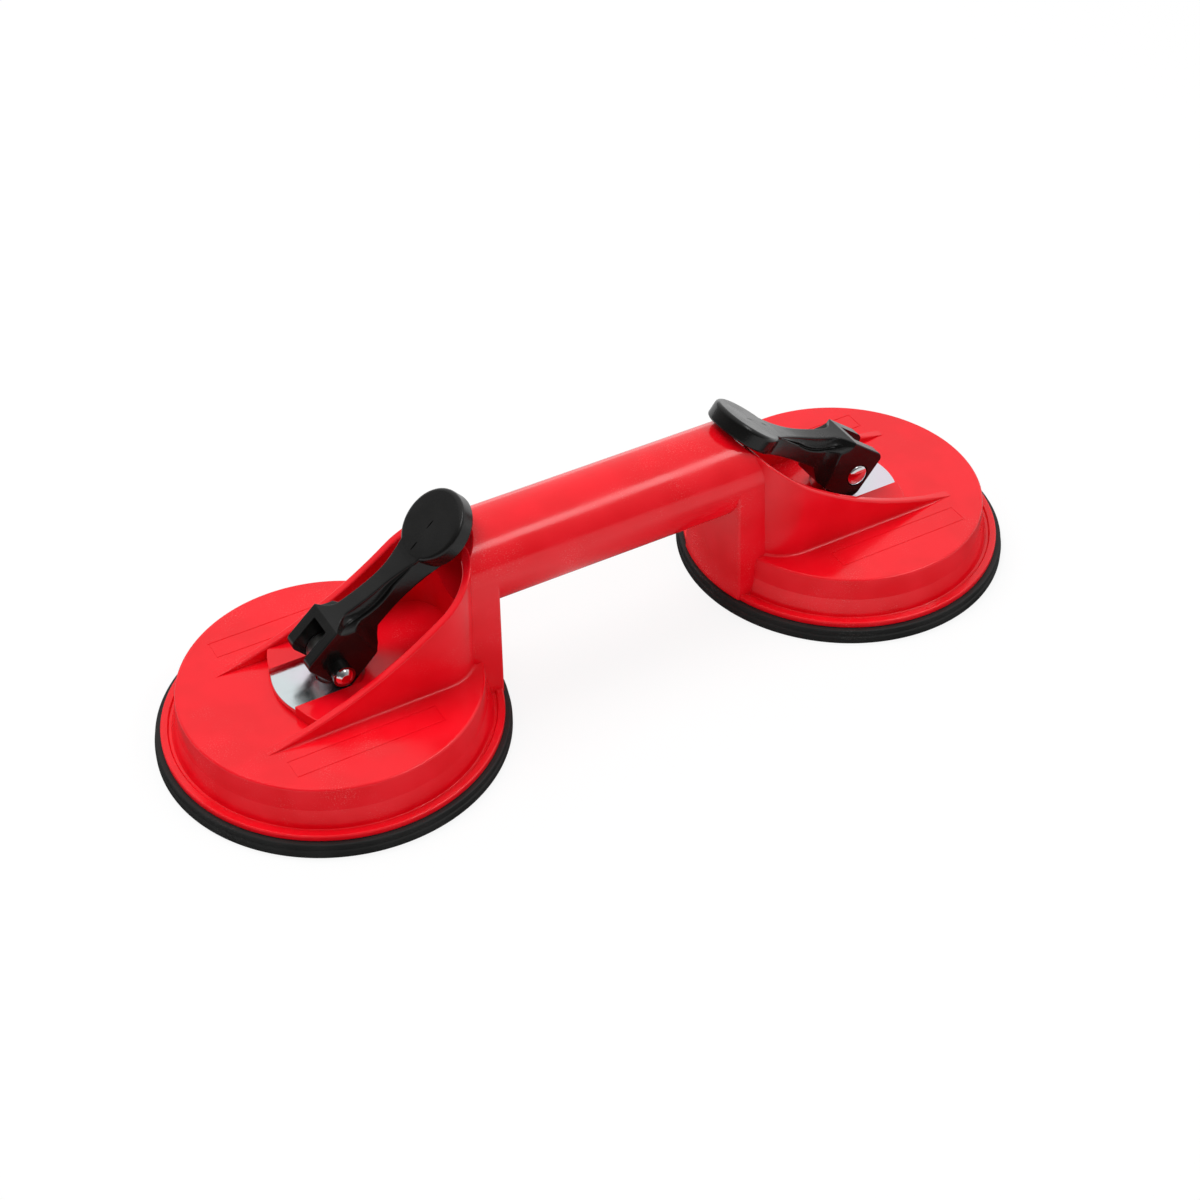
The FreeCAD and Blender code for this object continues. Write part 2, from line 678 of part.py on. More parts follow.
def main():
    os.makedirs("parts", exist_ok=True)
    write("body_shell", body_shell())
    lever = lever_blank()
    pin = clevis_pin_blank()
    ring = retaining_ring_blank()
    for name, side, lever_open in (("left", -1, LEFT_LEVER_OPEN), ("right", 1, RIGHT_LEVER_OPEN)):
        write("rubber_pad_" + name, on_cup(rubber_pad(lever_open), side))
        write("backing_plate_" + name, on_cup(backing_plate(lever_open), side))
        write("draw_bolt_" + name, on_cup(draw_bolt(lever_open), side))
        write("jam_nut_" + name, on_cup(jam_nut(lever_open), side))
        write("wear_plate_" + name, on_cup(wear_plate(), side))
        write("lever_" + name, on_cup(on_pin(lever, lever_open), side))
        write("clevis_pin_" + name, on_cup(on_pin(pin, lever_open), side))
        write("retaining_ring_" + name, on_cup(on_pin(ring, lever_open), side))
    print(f"locked angle {LOCKED_ANGLE:.3f} deg, pin height locked {LOCKED_PIN_Z:.3f},", end=" ")
    print(f"lever travel {LEVER_TRAVEL:.3f} deg, lift per radian {math.degrees(LIFT_PER_DEGREE):.4f} mm")


main()
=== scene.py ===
"""Studio scene of a twin suction cup lifter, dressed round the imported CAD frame.

Each sub-assembly is a class that holds its sizes in millimetres and builds its meshes as numpy surfaces. Shapes are
drawn in the cup's own frame: u runs from the cup's centre towards the handle, y across it and z up from the floor.
"""
import logging
import math
from collections.abc import Callable
from dataclasses import dataclass
from enum import Enum

import bmesh
import bpy
import numpy as np
from mathutils import Matrix, Vector


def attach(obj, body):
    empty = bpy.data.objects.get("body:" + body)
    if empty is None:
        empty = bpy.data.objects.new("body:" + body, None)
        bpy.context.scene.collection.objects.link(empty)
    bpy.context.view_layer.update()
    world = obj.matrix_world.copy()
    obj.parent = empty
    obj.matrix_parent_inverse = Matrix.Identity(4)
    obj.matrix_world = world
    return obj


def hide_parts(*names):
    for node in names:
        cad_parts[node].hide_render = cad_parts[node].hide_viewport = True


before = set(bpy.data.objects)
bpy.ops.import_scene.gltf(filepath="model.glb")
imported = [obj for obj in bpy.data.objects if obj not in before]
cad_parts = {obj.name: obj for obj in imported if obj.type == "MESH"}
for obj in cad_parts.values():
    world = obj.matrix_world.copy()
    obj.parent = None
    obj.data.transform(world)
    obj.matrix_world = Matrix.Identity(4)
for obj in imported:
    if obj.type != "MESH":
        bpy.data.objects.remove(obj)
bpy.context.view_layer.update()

log = logging.getLogger("lifter")

Points = np.ndarray
Faces = list[np.ndarray]
Surface = tuple[Points, Faces]
Move = Callable[[Points], Points]
Pair = tuple[float, float]
Triple = tuple[float, float, float]
Colour = tuple[float, float, float, float]
Flare = tuple[float, float, float, float, float]  # start, length, growth, limit as a share of the length, and power
Piece = bpy.types.Object
Material = bpy.types.Material
NodeTree = bpy.types.NodeTree
Node = bpy.types.Node
Socket = bpy.types.NodeSocket
Sockets = bpy.types.bpy_prop_collection
Value = float | tuple[float, ...] | Socket

MM = 0.001
SHARP = math.radians(34)
QUARTER = math.pi / 2
ARC_STEPS = 5
CUP_SPACING = 201.5
RIM_Z = 5.35  # top of the pad's rim, under the flange
DISC_Z = 21.65  # flat top of a housing
TUBE_Z = 51.6  # axis of the tube
TUBE_R = 15.9


class Side(Enum):
    """The two cups of the lifter."""

    LEFT = "left"
    RIGHT = "right"

    def place(self, points: Points) -> Points:
        """Points of the cup's own frame, moved to this cup (the right one is turned half round)."""
        sign = 1 if self is Side.LEFT else -1
        return points * np.array([sign, sign, 1]) - np.array([sign * CUP_SPACING / 2, 0, 0])


class Carving(Enum):
    """How tools change a mesh."""

    JOIN = "UNION"
    CUT = "DIFFERENCE"


# --- surfaces


def rounded(corners: list[Triple], closed: bool = False) -> Points:
    """Rounds a polyline's corners with tangent arcs.

    Args:
        corners: (a, b, radius) of each corner.
        closed: whether the last corner joins the first.

    Returns:
        An (n, 2) array of points.
    """
    out = []
    count = len(corners)
    for i, (a, b, radius) in enumerate(corners):
        here = np.array([a, b])
        if radius <= 0 or (not closed and i in (0, count - 1)):
            out.append(here)
            continue
        before = np.array(corners[i - 1][:2]) - here
        after = np.array(corners[(i + 1) % count][:2]) - here
        before /= np.linalg.norm(before)
        after /= np.linalg.norm(after)
        half = math.acos(np.clip(before @ after, -1, 1)) / 2
        bisector = (before + after) / np.linalg.norm(before + after)
        centre = here + bisector * radius / math.sin(half)
        start = here + before * radius / math.tan(half) - centre
        end = here + after * radius / math.tan(half) - centre
        turn = math.atan2(start[0] * end[1] - start[1] * end[0], start @ end) * np.linspace(0, 1, ARC_STEPS)
        cos, sin = np.cos(turn), np.sin(turn)
        out.extend(centre + np.stack([start[0] * cos - start[1] * sin, start[0] * sin + start[1] * cos], axis=1))
    return np.array(out)


def grid_faces(rows: int, columns: int, wrap_rows: bool = False) -> np.ndarray:
    """Quads of a grid of points whose rows are closed rings.

    Args:
        rows: number of rings.
        columns: points on each ring.
        wrap_rows: whether the last ring joins the first.

    Returns:
        An (n, 4) array of point numbers.
    """
    i = np.arange(rows if wrap_rows else rows - 1)[:, None]
    j = np.arange(columns)[None, :]
    i2, j2 = (i + 1) % rows, (j + 1) % columns
    quads = np.stack(np.broadcast_arrays(i * columns + j, i2 * columns + j, i2 * columns + j2, i * columns + j2), -1)
    return quads.reshape(-1, 4)


def lofted(rings: Points) -> Surface:
    """Closed surface through rings: point (i, j) is point j of ring i, and a flat cap closes each end.

    Args:
        rings: (rows, columns, 3) array.

    Returns:
        Points and faces.
    """
    rows, columns = rings.shape[:2]
    cap = np.arange(columns)[None, :]
    return rings.reshape(-1, 3), [grid_faces(rows, columns), cap[:, ::-1], cap + (rows - 1) * columns]


def revolved(profile: Points, segments: int, closed: bool = False) -> Surface:
    """Surface of revolution: point (r, z) of the profile turned by angle t is (r cos t, r sin t, z).

    Args:
        profile: (radius, height) points. A profile that isn't closed starts and ends on the axis.
        segments: steps round the axis.
        closed: whether the profile is a closed loop, as for a ring.

    Returns:
        Points and faces of the closed surface.
    """
    t = np.linspace(0, 2 * math.pi, segments, endpoint=False)
    body = profile if closed else profile[1:-1]
    r, z = body[:, 0][:, None], body[:, 1][:, None]
    points = np.stack(np.broadcast_arrays(r * np.cos(t), r * np.sin(t), z), -1).reshape(-1, 3)
    faces: Faces = [grid_faces(len(body), segments, closed)]
    if not closed:
        first = np.arange(segments)
        last = first + (len(body) - 1) * segments
        low, high = np.full(segments, len(points)), np.full(segments, len(points) + 1)
        faces += [np.stack([low, first, np.roll(first, -1)], -1), np.stack([high, np.roll(last, -1), last], -1)]
        points = np.concatenate([points, [[0, 0, profile[0, 1]], [0, 0, profile[-1, 1]]]])
    return points, faces


def cylinder(radius: float, low: float, high: float, segments: int = 64) -> Surface:
    """Closed cylinder about Z from one height to another."""
    return revolved(np.array([[0, low], [radius, low], [radius, high], [0, high]]), segments)


def prism(outline: Points, layers: list[Pair]) -> Surface:
    """Stack of one plan outline: each layer is the outline moved inwards by an inset, at its height.

    Args:
        outline: (n, 2) closed plan, anticlockwise.
        layers: (inset, z) of each layer from the bottom up.

    Returns:
        Points and faces of the closed solid.
    """
    before = outline - np.roll(outline, 1, axis=0)
    after = np.roll(outline, -1, axis=0) - outline
    n1 = np.stack([-before[:, 1], before[:, 0]], 1) / np.linalg.norm(before, axis=1)[:, None]
    n2 = np.stack([-after[:, 1], after[:, 0]], 1) / np.linalg.norm(after, axis=1)[:, None]
    inward = (n1 + n2) / np.maximum(1 + (n1 * n2).sum(1), 0.3)[:, None]
    return lofted(np.stack([level(outline + inward * inset, z) for inset, z in layers]))


def level(plan: Points, z: float) -> Points:
    """Points of a plan at one height."""
    return np.column_stack([plan, np.full(len(plan), z)])


def softened(z0: float, z1: float, radius: float, both: bool = False) -> list[Pair]:
    """Layers of a prism with a rounded upper edge.

    Args:
        z0: height of the underside.
        z1: height of the top.
        radius: radius of the edge.
        both: whether the lower edge is rounded too.

    Returns:
        (inset, z) of each layer from the bottom up.
    """
    angles = np.linspace(0, QUARTER, 4)
    upper = [(radius * (1 - math.cos(a)), z1 - radius + radius * math.sin(a)) for a in angles]
    return ([(inset, z0 + z1 - z) for inset, z in upper[::-1]] if both else [(0.0, z0)]) + upper


def arc_points(centre: Pair, radius: float, a0: float, a1: float, steps: int) -> Points:
    """Points of a circle's arc between two angles in degrees."""
    a = np.radians(np.linspace(a0, a1, steps))
    return np.stack([centre[0] + radius * np.cos(a), centre[1] + radius * np.sin(a)], 1)


def circle_through(a: Points, b: Points, c: Points) -> tuple[Points, float]:
    """Centre and radius of the circle through three points of a plane."""
    centre = np.linalg.solve(2 * np.array([b - a, c - a]), np.array([b @ b - a @ a, c @ c - a @ a]))
    return centre, float(np.linalg.norm(a - centre))


def flared(x: Points, flare: Flare) -> Points:
    """The curve growth * ((x - start) / length) ** power, 0 before its start and held beyond its limit."""
    start, length, growth, limit, power = flare
    return growth * np.clip((x - start) / length, 0, limit) ** power


# --- moves


def about_x(points: Points) -> Points:
    """A revolved shape laid down: its axis Z becomes X."""
    return points[:, [2, 0, 1]]


def about_y(points: Points) -> Points:
    """A revolved shape laid down: its axis Z becomes Y."""
    return points[:, [1, 2, 0]]


def across(points: Points) -> Points:
    """Points mirrored to the other side of the cup."""
    return points * np.array([1, -1, 1])


def shifted(x: float = 0.0, z: float = 0.0) -> Move:
    """A move along X and Z."""
    return lambda points: points + np.array([x, 0, z])


# --- meshes


def mesh_object(name: str, surface: Surface, *moves: Move) -> Piece:
    """Makes an object from a surface in millimetres, with its faces turned outwards.

    Args:
        name: name of the object and its mesh.
        surface: points, and arrays of point numbers with one array for each number of corners.
        moves: what places the points, in turn.

    Returns:
        The object, linked to the scene at the origin.
    """
    points, faces = surface
    for move in moves:
        points = move(points)
    mesh = bpy.data.meshes.new(name)
    mesh.from_pydata((points * MM).tolist(), [], [face for block in faces for face in block.tolist()])
    bm = bmesh.new()
    bm.from_mesh(mesh)
    bmesh.ops.remove_doubles(bm, verts=bm.verts, dist=1e-7)
    bmesh.ops.recalc_face_normals(bm, faces=bm.faces)
    bm.to_mesh(mesh)
    bm.free()
    obj = bpy.data.objects.new(name, mesh)
    bpy.context.scene.collection.objects.link(obj)
    return obj


def carve(base: Piece, carving: Carving, tools: list[Piece]) -> Piece:
    """Joins the tools to the base or cuts them from it, and removes the tools.

    Args:
        base: the object that is changed.
        carving: whether the tools are joined or cut.
        tools: closed meshes.

    Returns:
        The base, with the result as its mesh.
    """
    for tool in tools:
        modifier = base.modifiers.new("carve", "BOOLEAN")
        modifier.operation = carving.value
        modifier.solver = "MANIFOLD"
        modifier.object = tool
    bpy.context.view_layer.update()
    graph = bpy.context.evaluated_depsgraph_get()
    result = bpy.data.meshes.new_from_object(base.evaluated_get(graph))
    base.modifiers.clear()
    old = [base.data] + [tool.data for tool in tools]
    base.data = result
    result.name = base.name
    for tool in tools:
        bpy.data.objects.remove(tool)
    for mesh in old:
        bpy.data.meshes.remove(mesh)
    return base


def finish_mesh(obj: Piece, material: Material) -> None:
    """Shades a piece smooth up to its sharp edges and gives it its material.

    Args:
        obj: the piece.
        material: its only material.
    """
    mesh = obj.data
    mesh.materials.clear()
    mesh.materials.append(material)
    mesh.polygons.foreach_set("use_smooth", np.ones(len(mesh.polygons), dtype=bool))
    mesh.set_sharp_from_angle(angle=SHARP)
    modifier = obj.modifiers.new("even_normals", "WEIGHTED_NORMAL")
    modifier.keep_sharp = True
    modifier.weight = 60
    log.info("%s: %d faces", obj.name, len(mesh.polygons))


# --- finishes


class Tree:
    """A short way to write a node tree."""

    def __init__(self, tree: NodeTree) -> None:
        """Keeps the tree that nodes are added to."""
        self.tree = tree

    def fill(self, node: Node, values: dict[str | int, Value]) -> None:
        """Sets or links inputs of a node.

        Args:
            node: the node.
            values: input name or number to a value, or to an output socket to link.
        """
        for key, value in values.items():
            if isinstance(value, Socket):
                self.tree.links.new(value, node.inputs[key])
            else:
                node.inputs[key].default_value = value

    def add(self, kind: str, values: dict[str | int, Value] | None = None, **settings: object) -> Node:
        """Adds a node.

        Args:
            kind: the node's type.
            values: what its inputs are set or linked to.
            settings: properties of the node.

        Returns:
            The node.
        """
        node = self.tree.nodes.new(kind)
        for key, value in settings.items():
            setattr(node, key, value)
        self.fill(node, values or {})
        return node

    def math(self, operation: str, a: Value, b: Value = 0.0, clamp: bool = False) -> Socket:
        """Output of a Math node on two values or sockets."""
        return self.add("ShaderNodeMath", {0: a, 1: b}, operation=operation, use_clamp=clamp).outputs[0]

    def noise(self, vector: Socket, scale: Value, detail: float, roughness: float = 0.5) -> Socket:
        """Fac output of a Noise Texture."""
        values = {"Vector": vector, "Scale": scale, "Detail": detail, "Roughness": roughness}
        return self.add("ShaderNodeTexNoise", values).outputs["Fac"]

    def ramp(self, fac: Value, low: float, high: float, out_low: float = 0.0, out_high: float = 1.0) -> Socket:
        """Smooth step of a value from one range to another."""
        values = {0: fac, 1: low, 2: high, 3: out_low, 4: out_high}
        return self.add("ShaderNodeMapRange", values, interpolation_type="SMOOTHSTEP").outputs[0]

    def mix(self, fac: Value, a: Value, b: Value) -> Socket:
        """Colour mix of two colours or sockets."""
        return self.add("ShaderNodeMix", {0: fac, 6: a, 7: b}, data_type="RGBA").outputs[2]

    def blend(self, fac: Value, a: Value, b: Value) -> Socket:
        """Mix of two numbers or sockets."""
        return self.add("ShaderNodeMix", {0: fac, 2: a, 3: b}).outputs[0]

    def bump(self, height: Socket, depth: float) -> Socket:
        """Normal of a relief whose depth is given in millimetres."""
        return self.add("ShaderNodeBump", {"Strength": 1.0, "Distance": depth * MM, "Height": height}).outputs[0]

    def rays(self) -> tuple[Socket, Socket]:
        """Masks of the rays of the camera, and of those that leave a glossy or a clear surface."""
        path = self.add("ShaderNodeLightPath").outputs
        return path["Is Camera Ray"], self.math("MAXIMUM", path["Is Glossy Ray"], path["Is Transmission Ray"])


def shared_group(name: str, inputs: dict[str, float], outputs: list[str]) -> tuple[Tree, Sockets, Node]:
    """Starts a shader node group with a Vector input, named number inputs and number outputs.

    Args:
        name: the group's name.
        inputs: the inputs' names and first values.
        outputs: the outputs' names.

    Returns:
        The group's tree, its input sockets by name, and its output node.
    """
    group = bpy.data.node_groups.new(name, "ShaderNodeTree")
    group.interface.new_socket(name="Vector", in_out="INPUT", socket_type="NodeSocketVector")
    for key, value in inputs.items():
        socket = group.interface.new_socket(name=key, in_out="INPUT", socket_type="NodeSocketFloat")
        socket.default_value = value
    for key in outputs:
        group.interface.new_socket(name=key, in_out="OUTPUT", socket_type="NodeSocketFloat")
    tree = Tree(group)
    return tree, tree.add("NodeGroupInput").outputs, tree.add("NodeGroupOutput")


def moulded_skin() -> NodeTree:
    """Moulded plastic skin: slow flow ripple, fine grain, and patches of dust and rubbing.

    Returns:
        A group whose Height is the ripple plus the grain, Ripple the slow part alone and Dust a patchy mask.
    """
    if "moulded_skin" in bpy.data.node_groups:
        return bpy.data.node_groups["moulded_skin"]
    firsts = {"Ripple Scale": 60.0, "Grain Scale": 900.0, "Grain": 0.3}
    tree, source, sink = shared_group("moulded_skin", firsts, ["Height", "Ripple", "Dust"])
    vector = source["Vector"]
    ripple = tree.noise(vector, source["Ripple Scale"], 1.5)
    fine = tree.math("MULTIPLY", tree.noise(vector, source["Grain Scale"], 2.0), source["Grain"])
    patches = tree.ramp(tree.noise(vector, 38.0, 4.0, 0.6), 0.5, 0.75)
    specks = tree.ramp(tree.noise(vector, 2400.0, 2.0), 0.56, 0.68)
    dust = tree.math("MULTIPLY", patches, specks)
    tree.fill(sink, {"Height": tree.math("ADD", ripple, fine), "Ripple": ripple, "Dust": dust})
    return tree.tree


def plated_metal() -> NodeTree:
    """Plated metal: fine rolling lines along X, soft blotches, and a mask for slow changes of tint.

    Returns:
        A group whose outputs are Lines, Blotch and Tint.
    """
    if "plated_metal" in bpy.data.node_groups:
        return bpy.data.node_groups["plated_metal"]
    tree, source, sink = shared_group("plated_metal", {"Line Scale": 700.0}, ["Lines", "Blotch", "Tint"])
    vector = source["Vector"]
    stretched = tree.add("ShaderNodeMapping", {"Vector": vector, "Scale": (0.06, 1.0, 1.0)}).outputs[0]
    lines = tree.noise(stretched, source["Line Scale"], 2.0)
    blotch = tree.noise(vector, 260.0, 4.0, 0.65)
    tree.fill(sink, {"Lines": lines, "Blotch": blotch, "Tint": tree.noise(vector, 45.0, 1.0, 0.4)})
    return tree.tree


def new_material(name: str) -> tuple[Material, Tree, Node, Socket]:
    """Starts a material.

    Args:
        name: the material's name.

    Returns:
        The material, its tree, its Principled BSDF, and the Object coordinate socket.
    """
    material = bpy.data.materials.new(name)
    material.use_nodes = True
    tree = Tree(material.node_tree)
    return material, tree, tree.tree.nodes["Principled BSDF"], tree.add("ShaderNodeTexCoord").outputs["Object"]


@dataclass(frozen=True)
class Moulding:
    """Glossy or satin moulded plastic."""

    name: str
    colour: Colour
    deep: Colour
    dust_colour: Colour
    roughness: Pair
    ripple_scale: float
    grain_scale: float
    grain: float
    bump: float  # in millimetres
    dust: float
    specular: float = 0.5

    def material(self) -> Material:
        """Colour that shifts slowly with the flow of the plastic, rippled gloss and a trace of dust.

        Returns:
            The material.
        """
        material, tree, shader, place = new_material(self.name)
        scales = {"Ripple Scale": self.ripple_scale, "Grain Scale": self.grain_scale, "Grain": self.grain}
        skin = tree.add("ShaderNodeGroup", {"Vector": place} | scales, node_tree=moulded_skin()).outputs
        plain = tree.mix(tree.ramp(skin["Ripple"], 0.35, 0.65), self.deep, self.colour)
        dusty = tree.math("MULTIPLY", skin["Dust"], self.dust)
        rough = tree.ramp(skin["Ripple"], 0.3, 0.7, *self.roughness)
        tree.fill(shader, {
            "Base Color": tree.mix(dusty, plain, self.dust_colour),
            "Roughness": tree.math("ADD", rough, tree.math("MULTIPLY", dusty, 0.4), clamp=True),
            "Specular IOR Level": self.specular,
            "Normal": tree.bump(skin["Height"], self.bump),
        })
        return material


@dataclass(frozen=True)
class Plating:
    """Plated or plain steel."""

    name: str
    colour: Colour
    tint: Colour
    roughness: Pair
    line_scale: float
    bump: float  # in millimetres

    def material(self) -> Material:
        """Metal with fine rolling lines, blotched gloss and a slow change of tint.

        Returns:
            The material.
        """
        material, tree, shader, place = new_material(self.name)
        values = {"Vector": place, "Line Scale": self.line_scale}
        metal = tree.add("ShaderNodeGroup", values, node_tree=plated_metal()).outputs
        tree.fill(shader, {
            "Base Color": tree.mix(tree.ramp(metal["Tint"], 0.35, 0.65), self.colour, self.tint),
            "Metallic": 1.0,
            "Roughness": tree.ramp(metal["Blotch"], 0.3, 0.7, *self.roughness),
            "Normal": tree.bump(metal["Lines"], self.bump),
        })
        return material


class Finish:
    """The finishes of the lifter's pieces, built once."""

    def __init__(self) -> None:
        """Makes every material."""
        self.red = Moulding(
            "red_moulding", (0.86, 0.003, 0.012, 1), (0.80, 0.002, 0.009, 1), (0.9, 0.35, 0.33, 1), (0.13, 0.22),
            ripple_scale=70.0, grain_scale=1300.0, grain=0.12, bump=0.10, dust=0.25,
        ).material()
        self.nylon = Moulding(
            "black_nylon", (0.0060, 0.0058, 0.0055, 1), (0.0040, 0.0039, 0.0037, 1), (0.09, 0.09, 0.09, 1),
            (0.17, 0.27), ripple_scale=110.0, grain_scale=1500.0, grain=0.4, bump=0.10, dust=0.20, specular=0.38,
        ).material()
        self.rubber = Moulding(
            "pad_rubber", (0.0165, 0.0168, 0.0165, 1), (0.0115, 0.012, 0.0115, 1), (0.14, 0.14, 0.135, 1),
            (0.5, 0.66), ripple_scale=55.0, grain_scale=1100.0, grain=0.6, bump=0.12, dust=0.5, specular=0.35,
        ).material()
        self.zinc = Plating(
            "bright_zinc", (0.93, 0.86, 0.95, 1), (0.83, 0.91, 0.93, 1), (0.16, 0.26), line_scale=900.0, bump=0.012
        ).material()
        self.steel = Plating(
            "dull_steel", (0.50, 0.49, 0.48, 1), (0.42, 0.42, 0.43, 1), (0.30, 0.46), line_scale=800.0, bump=0.03
        ).material()
        self.polished = Plating(
            "polished_pin", (0.86, 0.86, 0.87, 1), (0.80, 0.80, 0.81, 1), (0.05, 0.10), line_scale=1200.0, bump=0.003
        ).material()
        self.ring = Plating(
            "black_spring_steel", (0.26, 0.255, 0.25, 1), (0.20, 0.20, 0.20, 1), (0.14, 0.24), line_scale=1000.0,
            bump=0.01,
        ).material()


# --- body


@dataclass
class BodyShell:
    """The red moulding: two round housings, the horseshoe ramps with their posts, and the tube handle."""

    finish: Finish
    flange_r: float = 56.65
    flange_z: float = 7.5
    land_r: float = 54.3
    groove_z: float = 6.75
    wall_foot_r: float = 52.9
    break_r: float = 51.15  # slight break of the leaning wall
    break_z: float = 13.4
    disc_r: float = 50.4
    cavity_foot_r: float = 49.9
    cavity_top_r: float = 47.4
    roof_z: float = 18.75
    boss_r: float = 11.0
    boss_z: float = 16.35
    guide_r: float = 4.07
    leg_half: float = 22.5  # half width over the horseshoe's legs
    leg_tip: float = 32.0
    leg_rise: float = 14.0  # length at the tip where the path's points are closer
    bend_start: float = 32.0
    bend_radius: float = 15.8
    wall: float = 3.0
    rim_radius: float = 0.9
    foot_fillet: float = 1.0
    low_share: float = 0.4  # largest radius as a share of the wall's height
    least: float = 0.05  # least height of the wall over the top
    ramp_middle: Pair = (8.0, 35.2)
    mouth_u: float = 51.5
    post_radius: float = 57.2
    post_foot_half: float = 17.8
    post_corner: float = 1.1
    lip: float = 0.9  # radius of the tube's rounded ends
    bore_r: float = 13.0
    bore_end: float = 38.0
    platform_inset: float = 2.0
    platform_z: float = 25.8
    platform_front: float = 18.0
    platform_front_r: float = 44.0
    wear_z: float = 24.2
    wear_thickness: float = 1.5
    wear_half: float = 10.0
    wear_front: float = 18.6
    wear_front_r: float = 26.0
    wear_back: float = 7.0
    wear_back_r: float = 12.5
    wear_gap: float = 0.25
    channel_half: float = 10.25
    channel_front: float = 44.0
    channel_split: float = 9.3
    channel_back: float = 11.5
    channel_r: float = 13.0
    panel_ends: Pair = (-28.0, 24.0)
    panel_half: float = 4.0
    panel_y: float = 32.0
    panel_line: float = 0.42
    panel_depth: float = 0.14

    def __post_init__(self) -> None:
        """Works out the crest circle and the middle of the wall's bend."""
        tip = np.array([-self.leg_tip, DISC_Z])
        mouth = np.array([self.mouth_u, TUBE_Z + TUBE_R])
        (self.crest_cu, self.crest_cz), self.crest_r = circle_through(tip, np.array(self.ramp_middle), mouth)
        self.bend_y = self.leg_half - self.bend_radius
        self.bend_r = self.bend_radius - self.wall / 2

    def crest(self, u: Points) -> Points:
        """Height of the ramp's crest at u: the lower branch of the crest circle."""
        return self.crest_cz - np.sqrt(np.clip(self.crest_r**2 - (u - self.crest_cu) ** 2, 0, None))

    def crest_u(self, z: Points) -> Points:
        """Where the crest is at height z."""
        return self.crest_cu + np.sqrt(np.clip(self.crest_r**2 - (z - self.crest_cz) ** 2, 0, None))

    def housing(self) -> Surface:
        """Housing: a ring profile with flange, groove, leaning wall, rounded top and hollow underside, revolved.

        Returns:
            Its surface in the cup's frame.
        """
        profile = [
            (self.cavity_foot_r, RIM_Z, 0), (self.flange_r, RIM_Z, 0.3), (self.flange_r, self.flange_z, 0.55),
            (self.land_r, self.flange_z, 0.2), (self.land_r - 0.4, self.groove_z, 0.2),
            (self.wall_foot_r, self.groove_z, 0.3), (self.break_r, self.break_z, 1.5), (self.disc_r, DISC_Z, 0.9),
            (self.guide_r, DISC_Z, 0), (self.guide_r, self.boss_z, 0), (self.boss_r, self.boss_z, 0.3),
            (self.boss_r, self.roof_z, 0.3), (self.cavity_top_r, self.roof_z, 1.2),
        ]
        return revolved(rounded(profile, closed=True), 192, closed=True)

    def wall_path(self) -> tuple[Points, Points]:
        """Centreline of the horseshoe: leg, bend, end wall, bend and leg.

        Returns:
            Its points and its outward normals.
        """
        tip = (1 - np.cos(np.linspace(0, QUARTER, 14))) * self.leg_rise - self.leg_tip
        leg_u = np.concatenate([tip, np.linspace(tip[-1], self.bend_start, 26)[1:]])
        leg = np.stack([leg_u, np.full_like(leg_u, self.wall / 2 - self.leg_half)], 1)
        bend = arc_points((self.bend_start, -self.bend_y), self.bend_r, -90, 0, 22)[1:]
        end_y = np.linspace(-self.bend_y, 0, 5)[1:]
        end = np.stack([np.full_like(end_y, self.bend_start + self.bend_r), end_y], 1)
        path = np.concatenate([leg, bend, end])
        normals = np.concatenate([
            np.tile([0.0, -1.0], (len(leg), 1)),
            arc_points((0, 0), 1.0, -90, 0, 22)[1:],
            np.tile([1.0, 0.0], (len(end), 1)),
        ])
        flip = np.array([1.0, -1.0])
        return np.concatenate([path, path[-2::-1] * flip]), np.concatenate([normals, normals[-2::-1] * flip])

    def ramp_walls(self) -> Surface:
        """Horseshoe wall: a wall section with a rounded rim and a filleted foot, carried along the path.

        The section's point (d, z) lies at path + d * normal. The rim follows the crest's height at that very point, and
        the radii shrink where the wall is low, so that the legs run out on the flat top.

        Returns:
            Its surface in the cup's frame.
        """
        path, normals = self.wall_path()
        half = self.wall / 2
        quarter = np.linspace(0, QUARTER, 6)
        height = np.clip(self.crest(path[:, 0]) - DISC_Z, self.least, None)
        rim = np.minimum(self.rim_radius, self.low_share * height)[:, None]
        foot = np.minimum(self.foot_fillet, self.low_share * height)[:, None]
        inner_d = -half + rim * (1 - np.cos(quarter))
        outer_d = half - rim * (1 - np.cos(quarter[::-1]))
        fillet_d = half + foot * (1 - np.cos(quarter))
        d = np.concatenate([np.full_like(rim, -half), inner_d, outer_d, fillet_d, half + foot], 1)
        u, y = (path[:, [i]] + normals[:, [i]] * d for i in (0, 1))
        top = np.maximum(self.crest(u), DISC_Z + self.least)
        low = np.full_like(rim, DISC_Z - 1.2)
        inner_z = top[:, 1:7] - rim + rim * np.sin(quarter)
        outer_z = top[:, 7:13] - rim + rim * np.sin(quarter[::-1])
        z = np.concatenate([low, inner_z, outer_z, DISC_Z + foot * (1 - np.sin(quarter)), low], 1)
        return lofted(np.stack([u, y, z], -1))

